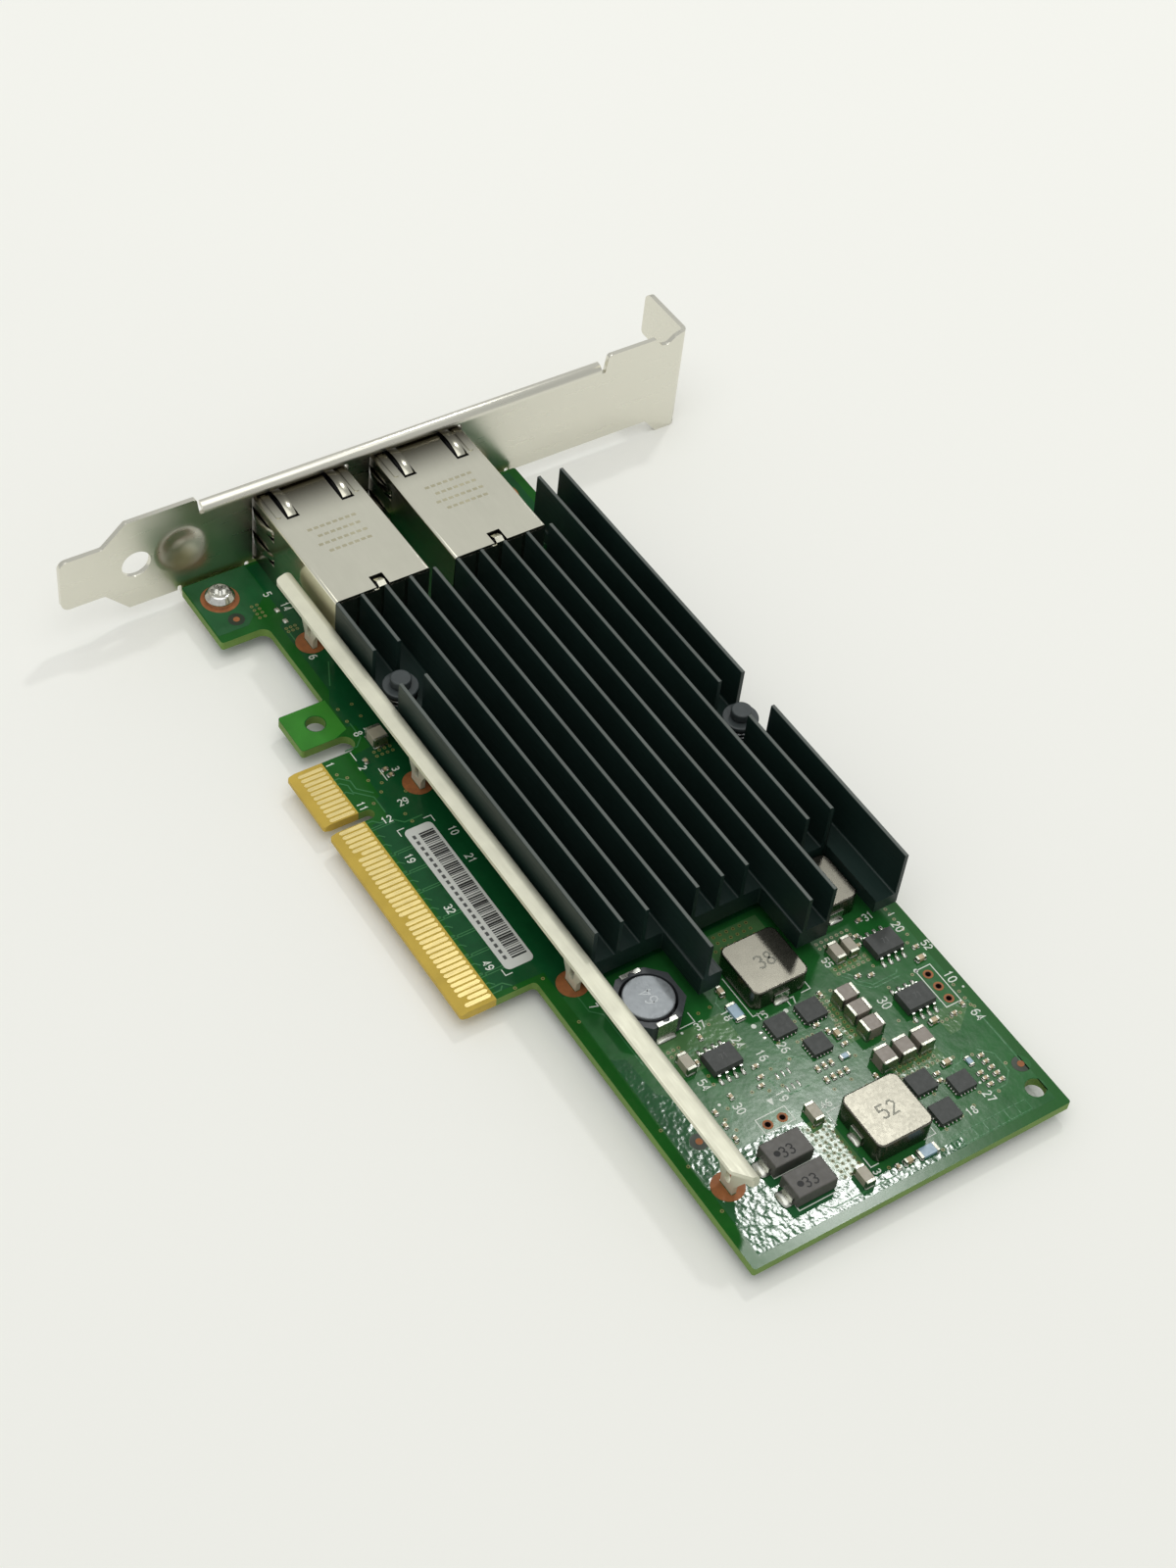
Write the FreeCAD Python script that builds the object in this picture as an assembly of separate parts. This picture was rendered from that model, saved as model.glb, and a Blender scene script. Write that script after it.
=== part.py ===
import FreeCAD, Part
import math
import os

# Dual-port network interface card: a low-profile eight-lane board on a full-height bracket,
# with two shielded modular jacks, a finned heat sink held by two push pins, and a folded
# stiffener along the lower edge.
#
# Frame, millimetres: the origin is the centre line of the key notch at the mating edge of the
# edge connector, in the plane of the component face. +X runs from the bracket to the free end,
# +Y from the mating edge to the top edge of the board, and +Z up from the component face.

# ---------------------------------------------------------------------------- driving sizes

# Circuit board
BOARD_THICK = 1.57
BOARD_BRACKET_END = 57.15
BOARD_FREE_END = 95.5
BOARD_TOP_EDGE = 68.9
BOARD_LOWER_EDGE = 12.7
FOOT_EDGE = 4.5
FOOT_LENGTH = 14.45
HOOK_START = -24.1
HOOK_END = -16.0
HOOK_HOLE_HEIGHT = 9.2
TONGUE_START = -12.6
TONGUE_END = 39.6
TONGUE_BEVEL_LENGTH = 1.2
TONGUE_BEVEL_DEPTH = 0.38
KEY_WIDTH = 1.9
KEY_DEPTH = 8.2
BOARD_CORNER_RADIUS = 0.4
BOARD_HOLE_DIAMETER = 3.2
FREE_END_HOLE_INSET = 4.5
FREE_END_HOLE_DROP = 3.0
HEADER_PITCH = 2.54
HEADER_HOLE_DIAMETER = 1.02

# Edge contacts
CONTACT_PITCH = 1.0
CONTACT_WIDTH = 0.7
CONTACT_START = 1.3
CONTACT_END = 5.7
CONTACT_POINT = 0.3
CONTACT_THICK = 0.05
SHORT_CONTACT_START = 2.3
CONTACTS_BEFORE_KEY = 11
CONTACTS_AFTER_KEY = 38

# Bracket
SHEET = 0.86
BRACKET_GAP = 0.6
BRACKET_LENGTH = 120.02
BRACKET_FOOT = -16.2
BRACKET_WIDTH = 18.42
BRACKET_LOWER_EDGE = -0.9
BRACKET_TAIL_WIDTH = 10.2
BRACKET_TAIL_LOWER = 3.45
BRACKET_TAIL_LENGTH = 7.55
SHOULDER_RUN = 4.2
BRACKET_HOLE_DIAMETER = 5.1
BRACKET_HOLE_FROM_FOOT = 13.3
DIMPLE_FOOT_RADIUS = 4.1
DIMPLE_CROWN_RADIUS = 1.0
DIMPLE_DISC_RADIUS = 5.15
DIMPLE_BLEND = 6.0
DIMPLE_HEIGHT = 1.0
DIMPLE_FROM_FOOT = 21.45
RIM_TOP = 15.5
RIM_DEPTH = 1.75
RIM_START = 9.3
RIM_END = 86.0
RIM_INNER_RADIUS = 0.55
RELIEF_WIDTH = 0.7
RELIEF_RADIUS = 0.3
RELIEF_SLANT = 0.5
BEND_INNER_RADIUS = 0.6
LIP_DROP = 3.05
LIP_LENGTH = 5.6
TOP_TAB_LENGTH = 11.43
TOP_TAB_UPPER = 17.2
SCREW_SLOT_WIDTH = 4.42
SCREW_SLOT_CENTRE = 6.0
SCREW_SLOT_DEPTH = 5.1
BOARD_TAB_REACH = 9.6
BOARD_TAB_RADIUS = 0.4
LOWER_TAB_START = 4.9
LOWER_TAB_LENGTH = 11.6
UPPER_TAB_LENGTH = 8.4

# Board screws
SCREW_FROM_BRACKET = 5.85
LOWER_SCREW_HEIGHT = 8.9
UPPER_SCREW_DROP = 6.0
SCREW_HEAD_DIAMETER = 5.0
SCREW_HEAD_HEIGHT = 1.8
RECESS_CORE_DIAMETER = 2.3
RECESS_LOBE_DIAMETER = 0.9
RECESS_REACH = 1.2
RECESS_DEPTH = 1.1
SCREW_SHANK_DIAMETER = 2.8
SCREW_HOLE_CLEARANCE = 0.1
SCREW_POINT_LENGTH = 0.5

# Modular jacks
JACK_WIDTH = 17.2
JACK_HEIGHT = 13.5
JACK_DEPTH = 28.25
JACK_PROUD = 0.3
JACK_PITCH = 21.9
FIRST_JACK_CENTRE = 26.95
JACK_STANDOFF = 0.1
SHIELD_SHEET = 0.3
HOUSING_CLEARANCE = 0.08
PORT_CLEARANCE = 0.35
PLUG_WIDTH = 11.9
PLUG_FLOOR = 3.4
PLUG_HEIGHT = 6.9
PLUG_DEPTH = 13.0
LATCH_WIDTH = 6.2
LATCH_FLOOR = 1.9
LATCH_STEP_WIDTH = 3.4
LATCH_STEP_FLOOR = 1.1
JACK_WIRE_PITCH = 1.02
JACK_WIRE_THICK = 0.35
JACK_WIRES = 8
FINGER_WIDTH = 1.5
FINGER_SLOT_WIDTH = 2.3
FINGER_SLOT_LENGTH = 7.5
FINGER_INSET = 3.55
RIB_INSET = 1.4
RIB_WIDTH = 0.9
FINGER_BULGE = 0.55
FINGER_DIP = 0.4
FINGER_TIP_GAP = 0.9
JACK_LEG_WIDTH = 1.3
JACK_LEG_LENGTH = 1.1
JACK_LEG_HOLE = 1.7

# Heat sink
FIN_COUNT = 12
FIN_THICK = 0.65
FIN_TOP = 13.75
FIN_PITCH = 4.405
FIRST_FIN_FACE = 18.12
HEATSINK_UNDERSIDE = 2.75
FLOOR_HEIGHT = 6.4
LOW_FLOOR_HEIGHT = 5.0
LOW_FLOOR_GAPS = 2
FIN_ROOT_RADIUS = 0.35
HEATSINK_JACK_GAP = 0.45
HEATSINK_FREE_END_INSET = 40.6
SHORT_FIN_SETBACK = 10.0
NOTCH_SETBACK = 12.9
LONG_FIN_LEAD = 10.6
POCKET_LENGTH = 8.0
FIN_EDGE_MARGIN = 0.45

# Push pins and their springs
PIN_HEAD_DIAMETER = 3.4
PIN_FLANGE_DIAMETER = 5.8
PIN_SHAFT_DIAMETER = 2.9
PIN_HOLE_CLEARANCE = 0.1
PIN_HEAD_TOP = 10.3
PIN_HEAD_HEIGHT = 1.3
PIN_FLANGE_THICK = 0.7
PIN_NECK_HEIGHT = 0.35
PIN_BARB_DIAMETER = 3.7
PIN_TIP_LENGTH = 2.1
PIN_SPLIT_WIDTH = 0.6
SPRING_DIAMETER = 4.9
SPRING_WIRE = 0.5
SPRING_TURNS = 4
SPRING_POCKET_DIAMETER = 5.5
SPRING_POCKET_FLOOR = 4.1

# Controller under the heat sink
CONTROLLER_CENTRE = (0.9, 42.9)
SUBSTRATE_SIDE = 25.0
SUBSTRATE_THICK = 1.1
LID_SIDE = 21.0
LID_TOP = 2.45
THERMAL_PAD_SIDE = 19.0

# Stiffener
STIFFENER_SHEET = 0.8
STIFFENER_TOP = 9.8
STIFFENER_DEPTH = 3.4
STIFFENER_WEB_FACE = 17.6
STIFFENER_WEB_FLOOR = 6.0
STIFFENER_START = -43.5
STIFFENER_END_INSET = 7.6
STIFFENER_END_SLANT = 2.4
STIFFENER_START_SLANT = 0.6
STIFFENER_BEND_RADIUS = 0.5
STIFFENER_LEG_WIDTH = 2.8
STIFFENER_LEG_FLARE = 2.2
STIFFENER_LEG_LENGTH = 0.9
STIFFENER_SLOT_CLEARANCE = 0.12
STIFFENER_EYE_WIDTH = 1.1
STIFFENER_EYE_HEIGHT = 3.0
STIFFENER_EYE_CENTRE = 3.0

# Copper pads around the fasteners
STIFFENER_PAD_DIAMETER = 5.0
SCREW_PAD_DIAMETER = 6.4
PAD_THICK = 0.05

# Label
LABEL_LENGTH = 30.4
LABEL_WIDTH = 4.9
LABEL_THICK = 0.1
LABEL_CORNER = (5.6, 10.0)
LABEL_RADIUS = 0.9

# Inductors
INDUCTOR_SIDE = 9.9
INDUCTOR_HEIGHT = 4.0
INDUCTOR_RADIUS = 1.3
SMALL_INDUCTOR_SIZE = (9.2, 8.2)
CLIP_WIDTH = 2.6
CLIP_THICK = 0.2
DRUM_SIDE = 10.1
DRUM_CORNER_CUT = 2.6
DRUM_SHELL_HEIGHT = 3.7
DRUM_BORE = 8.8
DRUM_CORE_DIAMETER = 7.9
DRUM_CORE_HEIGHT = 4.0
DRUM_FLANGE = 0.9
DRUM_POST_DIAMETER = 3.6
DRUM_WINDING_DIAMETER = 7.2

# Small parts
SOIC_BODY = (3.9, 4.9, 1.5)
SOIC_SPAN = 6.0
SOIC_PITCH = 1.27
SOIC_LEAD = (0.42, 0.2)
DRIVER_HEIGHT = 0.9
DRIVER_PAD = (0.3, 0.12)
TANTALUM_BODY = (4.3, 6.7, 2.5)
TANTALUM_SPAN = 7.3
TANTALUM_LEAD_WIDTH = 2.4
SOLDER_GAP = 0.03

# ---------------------------------------------------------------------------- worked-out sizes

BRACKET_FACE = -BOARD_BRACKET_END - BRACKET_GAP
BRACKET_BACK = BRACKET_FACE - SHEET
BRACKET_UPPER_EDGE = BRACKET_LOWER_EDGE + BRACKET_WIDTH
BRACKET_HEAD = BRACKET_FOOT + BRACKET_LENGTH
BRACKET_TAIL_CENTRE = BRACKET_TAIL_LOWER + BRACKET_TAIL_WIDTH / 2
BEND_OUTER_RADIUS = BEND_INNER_RADIUS + SHEET
SCREW_X = BRACKET_FACE + SCREW_FROM_BRACKET
SCREW_PLACES = ((SCREW_X, LOWER_SCREW_HEIGHT), (SCREW_X, BOARD_TOP_EDGE - UPPER_SCREW_DROP))
JACK_FRONT = BRACKET_BACK - JACK_PROUD
JACK_REAR = JACK_FRONT + JACK_DEPTH
FINGER_OFFSET = JACK_WIDTH / 2 - FINGER_INSET
JACK_CENTRES = (FIRST_JACK_CENTRE, FIRST_JACK_CENTRE + JACK_PITCH)
JACK_LEG_PLACES = (JACK_FRONT + 6.6, JACK_REAR - 2.3)
HEATSINK_END = BOARD_FREE_END - HEATSINK_FREE_END_INSET
HEATSINK_START = JACK_REAR + HEATSINK_JACK_GAP
POCKET_CENTRES = (CONTROLLER_CENTRE[0] - 15.4, CONTROLLER_CENTRE[0] + 15.5)
STIFFENER_END = BOARD_FREE_END - STIFFENER_END_INSET
STIFFENER_LEGS = (-36.3, -2.0, BOARD_FREE_END - 52.9, BOARD_FREE_END - 12.8)
STIFFENER_LEG_LINE = STIFFENER_WEB_FACE - STIFFENER_SHEET / 2
FREE_END_HOLE = (BOARD_FREE_END - FREE_END_HOLE_INSET, BOARD_TOP_EDGE - FREE_END_HOLE_DROP)
HOOK_HOLE = ((HOOK_START + HOOK_END) / 2 - 0.2, HOOK_HOLE_HEIGHT)
HEADER_HOLES = (
    (BOARD_FREE_END - 18.45, 28.05),
    (BOARD_FREE_END - 18.45, 28.05 + HEADER_PITCH),
    (BOARD_FREE_END - 28.6, BOARD_TOP_EDGE - 4.15),
    (BOARD_FREE_END - 28.6 + HEADER_PITCH, BOARD_TOP_EDGE - 4.15),
    (BOARD_FREE_END - 28.6 + 2 * HEADER_PITCH, BOARD_TOP_EDGE - 4.15),
)

# ---------------------------------------------------------------------------- shape helpers


def vector(x, y, z=0.0):
    return FreeCAD.Vector(x, y, z)


def outline(points):
    """Closed wire in the XY plane; a point is (x, y) or (x, y, corner radius)."""
    count = len(points)
    corners = []
    for index, point in enumerate(points):
        here = vector(point[0], point[1])
        radius = point[2] if len(point) > 2 else 0.0
        if not radius:
            corners.append((here, None, here))
            continue
        to_last = (vector(*points[index - 1][:2]) - here).normalize()
        to_next = (vector(*points[(index + 1) % count][:2]) - here).normalize()
        half_angle = to_last.getAngle(to_next) / 2
        reach = radius / math.tan(half_angle)
        inward = (to_last + to_next).normalize()
        middle = here + inward * (radius / math.sin(half_angle) - radius)
        corners.append((here + to_last * reach, middle, here + to_next * reach))
    edges = []
    for index, (arc_start, middle, arc_end) in enumerate(corners):
        if middle is not None:
            edges.append(Part.Arc(arc_start, middle, arc_end).toShape())
        next_start = corners[(index + 1) % count][0]
        if arc_end.distanceToPoint(next_start) > 1e-6:
            edges.append(Part.LineSegment(arc_end, next_start).toShape())
    return Part.Wire(edges)


def plate(points, low, high):
    """Outline in plan, from z = low to z = high."""
    face = Part.Face(outline(points))
    face.translate(vector(0, 0, low))
    return face.extrude(vector(0, 0, high - low))


def side_plate(points, low, high):
    """Outline of (y, z) points, from x = low to x = high."""
    solid = Part.Face(outline(points)).extrude(vector(0, 0, high - low))
    solid.rotate(vector(0, 0), vector(1, 1, 1), 120)
    solid.translate(vector(low, 0, 0))
    return solid


def front_plate(points, low, high):
    """Outline of (x, z) points, from y = low to y = high."""
    solid = Part.Face(outline(points)).extrude(vector(0, 0, high - low))
    solid.rotate(vector(0, 0), vector(1, 0, 0), 90)
    solid.translate(vector(0, high, 0))
    return solid


def block(x_range, y_range, z_range):
    size = [high - low for low, high in (x_range, y_range, z_range)]
    return Part.makeBox(*size, vector(x_range[0], y_range[0], z_range[0]))


def rectangle(x_range, y_range, radius=0.0):
    (x_low, x_high), (y_low, y_high) = x_range, y_range
    return [
        (x_low, y_low, radius),
        (x_high, y_low, radius),
        (x_high, y_high, radius),
        (x_low, y_high, radius),
    ]


def around(centre, size):
    """The x and y ranges of a rectangle about a centre."""
    return (
        (centre[0] - size[0] / 2, centre[0] + size[0] / 2),
        (centre[1] - size[1] / 2, centre[1] + size[1] / 2),
    )


def post(place, diameter, low, high):
    return Part.makeCylinder(diameter / 2, high - low, vector(place[0], place[1], low))


def cross_post(place, diameter, low, high):
    """Cylinder along X through the (y, z) place."""
    return Part.makeCylinder(
        diameter / 2, high - low, vector(low, place[0], place[1]), vector(1, 0, 0)
    )


def turned(profile, place):
    """Solid of revolution about the vertical line at place; the profile is (radius, z) points."""
    face = Part.Face(outline(profile))
    face.rotate(vector(0, 0), vector(1, 0, 0), 90)
    solid = face.revolve(vector(0, 0), vector(0, 0, 1), 360)
    solid.translate(vector(place[0], place[1], 0))
    return solid


def joined(first, *others):
    solid = first.fuse(list(others)) if others else first
    return solid.removeSplitter()


def moved(shape, x=0.0, y=0.0, z=0.0):
    copy = shape.copy()
    copy.translate(vector(x, y, z))
    return copy


def ribbon(centre_line, thickness):
    """Outline of a strip that follows straight runs, for a folded lead or wire."""
    upper, lower = [], []
    half = thickness / 2
    for index, point in enumerate(centre_line):
        here = vector(*point)
        before = vector(*centre_line[max(index - 1, 0)])
        after = vector(*centre_line[min(index + 1, len(centre_line) - 1)])
        into = (here - before) if index else (after - here)
        out = (after - here) if index + 1 < len(centre_line) else into
        into.normalize()
        out.normalize()
        mitre = (into + out).normalize()
        side = vector(-mitre.y, mitre.x)
        width = half / max(mitre.dot(into), 0.2)
        upper.append(here + side * width)
        lower.append(here - side * width)
    return [(p.x, p.y) for p in upper + lower[::-1]]


# ---------------------------------------------------------------------------- circuit board


def board_outline():
    lower = BOARD_LOWER_EDGE
    left = -BOARD_BRACKET_END
    key = KEY_WIDTH / 2
    slot_radius = (TONGUE_START - HOOK_END) / 2 - 0.01
    key_radius = key - 0.01
    return [
        (left, FOOT_EDGE, 0.6),
        (left + FOOT_LENGTH, FOOT_EDGE, 0.5),
        (left + FOOT_LENGTH, lower, 1.6),
        (HOOK_START, lower, 0.4),
        (HOOK_START, FOOT_EDGE, 0.5),
        (HOOK_END, FOOT_EDGE, 0.5),
        (HOOK_END, lower, slot_radius),
        (TONGUE_START, lower, slot_radius),
        (TONGUE_START, 0.0, BOARD_CORNER_RADIUS),
        (-key, 0.0, 0.4),
        (-key, KEY_DEPTH, key_radius),
        (key, KEY_DEPTH, key_radius),
        (key, 0.0, 0.4),
        (TONGUE_END, 0.0, BOARD_CORNER_RADIUS),
        (TONGUE_END, lower, 0.8),
        (BOARD_FREE_END, lower, BOARD_CORNER_RADIUS),
        (BOARD_FREE_END, BOARD_TOP_EDGE, BOARD_CORNER_RADIUS),
        (left, BOARD_TOP_EDGE, 0.5),
    ]


def tongue_bevels():
    """Wedges that thin both faces of the edge connector towards its mating edge."""
    for face, inward in ((0.0, -1.0), (-BOARD_THICK, 1.0)):
        wedge = [
            (-0.5, face + inward * (TONGUE_BEVEL_DEPTH * 1.5)),
            (-0.5, face - inward),
            (TONGUE_BEVEL_LENGTH, face - inward),
            (TONGUE_BEVEL_LENGTH, face),
        ]
        yield side_plate(wedge, TONGUE_START - 1.0, TONGUE_END + 1.0)


def stiffener_slots():
    width = STIFFENER_LEG_WIDTH + 2 * STIFFENER_SLOT_CLEARANCE
    depth = STIFFENER_SHEET + 2 * STIFFENER_SLOT_CLEARANCE
    for x in STIFFENER_LEGS:
        sides = around((x, STIFFENER_LEG_LINE), (width, depth))
        yield plate(rectangle(*sides, radius=0.3), -BOARD_THICK - 1.0, 1.0)


def jack_leg_places():
    offset = (JACK_WIDTH - SHIELD_SHEET) / 2
    for centre in JACK_CENTRES:
        for x in JACK_LEG_PLACES:
            yield x, centre - offset
            yield x, centre + offset


def circuit_board():
    board = plate(board_outline(), -BOARD_THICK, 0.0)
    round_holes = [(HOOK_HOLE, BOARD_HOLE_DIAMETER), (FREE_END_HOLE, BOARD_HOLE_DIAMETER)]
    shank_hole = SCREW_SHANK_DIAMETER + 4 * SCREW_HOLE_CLEARANCE
    round_holes += [(place, shank_hole) for place in SCREW_PLACES]
    round_holes += [(place, HEADER_HOLE_DIAMETER) for place in HEADER_HOLES]
    pin_hole = PIN_SHAFT_DIAMETER + 2 * PIN_HOLE_CLEARANCE
    round_holes += [(place, pin_hole) for place in push_pin_places()]
    round_holes += [(place, JACK_LEG_HOLE) for place in jack_leg_places()]
    cuts = [post(place, size, -BOARD_THICK - 1.0, 1.0) for place, size in round_holes]
    cuts += list(stiffener_slots())
    cuts += list(tongue_bevels())
    return board.cut(cuts).removeSplitter()


def contact_columns():
    """Centre of each edge contact, with True where it is a short presence contact."""
    first = -CONTACT_PITCH * CONTACTS_BEFORE_KEY - CONTACT_PITCH / 2
    for index in range(CONTACTS_BEFORE_KEY):
        yield first + CONTACT_PITCH * index, False
    for index in range(CONTACTS_AFTER_KEY):
        position = CONTACTS_BEFORE_KEY + 1 + index
        yield CONTACT_PITCH * (index + 1.5), position in (17, 31, 48)


def edge_contacts(low, high):
    contacts = []
    half = CONTACT_WIDTH / 2
    for x, short in contact_columns():
        start = SHORT_CONTACT_START if short else CONTACT_START
        shape = [
            (x - half * 0.4, start),
            (x + half * 0.4, start),
            (x + half, start + CONTACT_POINT),
            (x + half, CONTACT_END - CONTACT_POINT),
            (x, CONTACT_END),
            (x - half, CONTACT_END - CONTACT_POINT),
            (x - half, start + CONTACT_POINT),
        ]
        contacts.append(plate(shape, low, high))
    return contacts


def ground_pads():
    pads = []
    slots = Part.makeCompound(list(stiffener_slots()))
    for x in STIFFENER_LEGS:
        disc = post((x, STIFFENER_LEG_LINE), STIFFENER_PAD_DIAMETER, 0.0, PAD_THICK)
        pads.append(disc.cut(slots))
    hole = SCREW_SHANK_DIAMETER + 4 * SCREW_HOLE_CLEARANCE
    for place in SCREW_PLACES:
        disc = post(place, SCREW_PAD_DIAMETER, 0.0, PAD_THICK)
        pads.append(disc.cut(post(place, hole, -1.0, 1.0)))
    return pads


def label():
    x, y = LABEL_CORNER
    sides = ((x, x + LABEL_LENGTH), (y, y + LABEL_WIDTH))
    return plate(rectangle(*sides, radius=LABEL_RADIUS), 0.0, LABEL_THICK)


# ---------------------------------------------------------------------------- bracket


def bend(centre, inner_radius, start_angle, low, high):
    """A quarter bend of the sheet, in plan, from z = low to z = high."""
    outer = Part.makeCylinder(
        inner_radius + SHEET, high - low, vector(centre[0], centre[1], low), vector(0, 0, 1), 90
    )
    outer.rotate(vector(*centre), vector(0, 0, 1), start_angle)
    return outer.cut(post(centre, 2 * inner_radius, low, high))


def along_y(solid, high):
    """Turn a solid made in plan (x, z, then depth) so that its depth runs along -Y from high."""
    solid.rotate(vector(0, 0), vector(1, 0, 0), 90)
    solid.translate(vector(0, high, 0))
    return solid


def bracket_outline():
    """Flat face of the bracket, as (y, z) points, from the tail round to the head."""
    tail_low = BRACKET_TAIL_LOWER
    tail_high = BRACKET_TAIL_LOWER + BRACKET_TAIL_WIDTH
    shoulder = BRACKET_FOOT + BRACKET_TAIL_LENGTH
    full = shoulder + SHOULDER_RUN
    rim_plane = RIM_TOP - RIM_INNER_RADIUS - SHEET
    head = BRACKET_HEAD - BEND_OUTER_RADIUS
    lip_floor = BRACKET_LOWER_EDGE - LIP_DROP
    return [
        (BRACKET_FOOT, tail_low, 1.5),
        (shoulder, tail_low, 0.8),
        (full, BRACKET_LOWER_EDGE, 0.5),
        (head - LIP_LENGTH, BRACKET_LOWER_EDGE, 0.5),
        (head - LIP_LENGTH + LIP_DROP * 0.85, lip_floor, 0.6),
        (head, lip_floor),
        (head, TOP_TAB_UPPER),
        (head - 1.2, TOP_TAB_UPPER - 0.5, 0.4),
        (head - 2.6, TOP_TAB_UPPER - 1.6, 1.0),
        (head - 4.0, TOP_TAB_UPPER - 1.4, 0.6),
        (head - 5.4, BRACKET_UPPER_EDGE, 0.3),
        (RIM_END + RELIEF_WIDTH + RELIEF_SLANT, BRACKET_UPPER_EDGE, 0.6),
        (RIM_END + RELIEF_WIDTH, rim_plane),
        (RIM_START - RELIEF_WIDTH, rim_plane, 0.5),
        (RIM_START - RELIEF_WIDTH - RELIEF_SLANT, BRACKET_UPPER_EDGE, 0.6),
        (full, BRACKET_UPPER_EDGE, 0.5),
        (shoulder, tail_high, 0.8),
        (BRACKET_FOOT, tail_high, 1.5),
    ]


def top_tab():
    """Tab turned away from the card, with the open slot for the chassis screw."""
    lip_floor = BRACKET_LOWER_EDGE - LIP_DROP
    centre = (BRACKET_FACE - BEND_OUTER_RADIUS, BRACKET_HEAD - BEND_OUTER_RADIUS)
    corner = bend(centre, BEND_INNER_RADIUS, 0, lip_floor, TOP_TAB_UPPER)
    tip = BRACKET_BACK - TOP_TAB_LENGTH
    slot_low = SCREW_SLOT_CENTRE - SCREW_SLOT_WIDTH / 2
    slot_high = SCREW_SLOT_CENTRE + SCREW_SLOT_WIDTH / 2
    slot_end = tip + SCREW_SLOT_DEPTH + SCREW_SLOT_WIDTH / 2
    slot_radius = SCREW_SLOT_WIDTH / 2 - 0.01
    face = [
        (centre[0], lip_floor),
        (centre[0], TOP_TAB_UPPER),
        (tip, TOP_TAB_UPPER, 1.6),
        (tip, slot_high, 0.8),
        (slot_end, slot_high, slot_radius),
        (slot_end, slot_low, slot_radius),
        (tip, slot_low, 0.8),
        (tip, lip_floor, 1.6),
    ]
    return joined(corner, front_plate(face, BRACKET_HEAD - SHEET, BRACKET_HEAD))


def rim():
    """Narrow flange turned away from the card over the jack openings."""
    length = RIM_END - RIM_START
    outer = RIM_INNER_RADIUS + SHEET
    centre = (BRACKET_FACE - outer, RIM_TOP - outer)
    corner = along_y(bend(centre, RIM_INNER_RADIUS, 0, 0.0, length), RIM_END)
    strip = block(
        (BRACKET_FACE - RIM_DEPTH, centre[0]), (RIM_START, RIM_END), (RIM_TOP - SHEET, RIM_TOP)
    )
    return joined(corner, strip)


def board_tab(low, high, screw):
    """Tab turned under the board, with the threaded hole that its screw bites into."""
    length = high - low
    centre = (BRACKET_FACE + BOARD_TAB_RADIUS, -BOARD_THICK + BOARD_TAB_RADIUS)
    corner = along_y(bend(centre, BOARD_TAB_RADIUS, 180, 0.0, length), high)
    web = block((BRACKET_BACK, BRACKET_FACE), (low, high), (centre[1], 1.0))
    end = BRACKET_FACE + BOARD_TAB_REACH
    face = [(centre[0], low), (end, low, 1.2), (end, high, 1.2), (centre[0], high)]
    floor = -BOARD_THICK - SHEET
    tab = plate(face, floor, -BOARD_THICK)
    hole = post(screw, SCREW_SHANK_DIAMETER + SCREW_HOLE_CLEARANCE, floor - 1.0, 0.0)
    return joined(corner, web, tab.cut(hole))


def board_tab_spans():
    lower = (LOWER_TAB_START, LOWER_TAB_START + LOWER_TAB_LENGTH)
    upper_end = BOARD_TOP_EDGE - 1.7
    return (lower, (upper_end - UPPER_TAB_LENGTH, upper_end))


def port_openings():
    half = JACK_WIDTH / 2 + PORT_CLEARANCE
    for centre in JACK_CENTRES:
        sides = ((centre - half, centre + half), (JACK_STANDOFF - 0.2, JACK_HEIGHT + PORT_CLEARANCE))
        yield side_plate(rectangle(*sides, radius=0.4), BRACKET_BACK - 1.0, BRACKET_FACE + 1.0)


def dimple(place):
    """Disc of sheet about (y, z) pressed out into a bump with a soft foot and crown."""
    outer, inner = BRACKET_BACK, BRACKET_FACE
    profile = [
        (0.0, outer - DIMPLE_HEIGHT),
        (DIMPLE_CROWN_RADIUS, outer - DIMPLE_HEIGHT, DIMPLE_BLEND),
        (DIMPLE_FOOT_RADIUS, outer, DIMPLE_BLEND),
        (DIMPLE_DISC_RADIUS, outer),
        (DIMPLE_DISC_RADIUS, inner),
        (DIMPLE_FOOT_RADIUS, inner, DIMPLE_BLEND),
        (DIMPLE_CROWN_RADIUS, inner - DIMPLE_HEIGHT, DIMPLE_BLEND),
        (0.0, inner - DIMPLE_HEIGHT),
    ]
    disc = turned(profile, (0.0, 0.0))
    disc.rotate(vector(0, 0), vector(0, 1, 0), 90)
    return moved(disc, y=place[0], z=place[1])


def bracket():
    face = side_plate(bracket_outline(), BRACKET_BACK, BRACKET_FACE)
    body = joined(face, top_tab(), rim())
    for (low, high), screw in zip(board_tab_spans(), SCREW_PLACES):
        reliefs = [
            side_plate(
                rectangle(
                    (edge, edge + RELIEF_WIDTH), (BRACKET_LOWER_EDGE - 1.0, 0.0), RELIEF_RADIUS
                ),
                BRACKET_BACK - 0.1,
                BRACKET_FACE + 0.1,
            )
            for edge in (low - RELIEF_WIDTH, high)
        ]
        body = joined(body.cut(reliefs), board_tab(low, high, screw))
    hole = (BRACKET_FOOT + BRACKET_HOLE_FROM_FOOT, BRACKET_TAIL_CENTRE - 0.4)
    dimple_place = (BRACKET_FOOT + DIMPLE_FROM_FOOT, BRACKET_TAIL_CENTRE - 0.2)
    seat = cross_post(
        dimple_place, 2 * DIMPLE_DISC_RADIUS, BRACKET_BACK - 1.0, BRACKET_FACE + 1.0
    )
    body = joined(body.cut([seat, *port_openings()]), dimple(dimple_place))
    body = body.cut(cross_post(hole, BRACKET_HOLE_DIAMETER, BRACKET_BACK - 1.0, BRACKET_FACE + 1.0))
    return body.removeSplitter()


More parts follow.
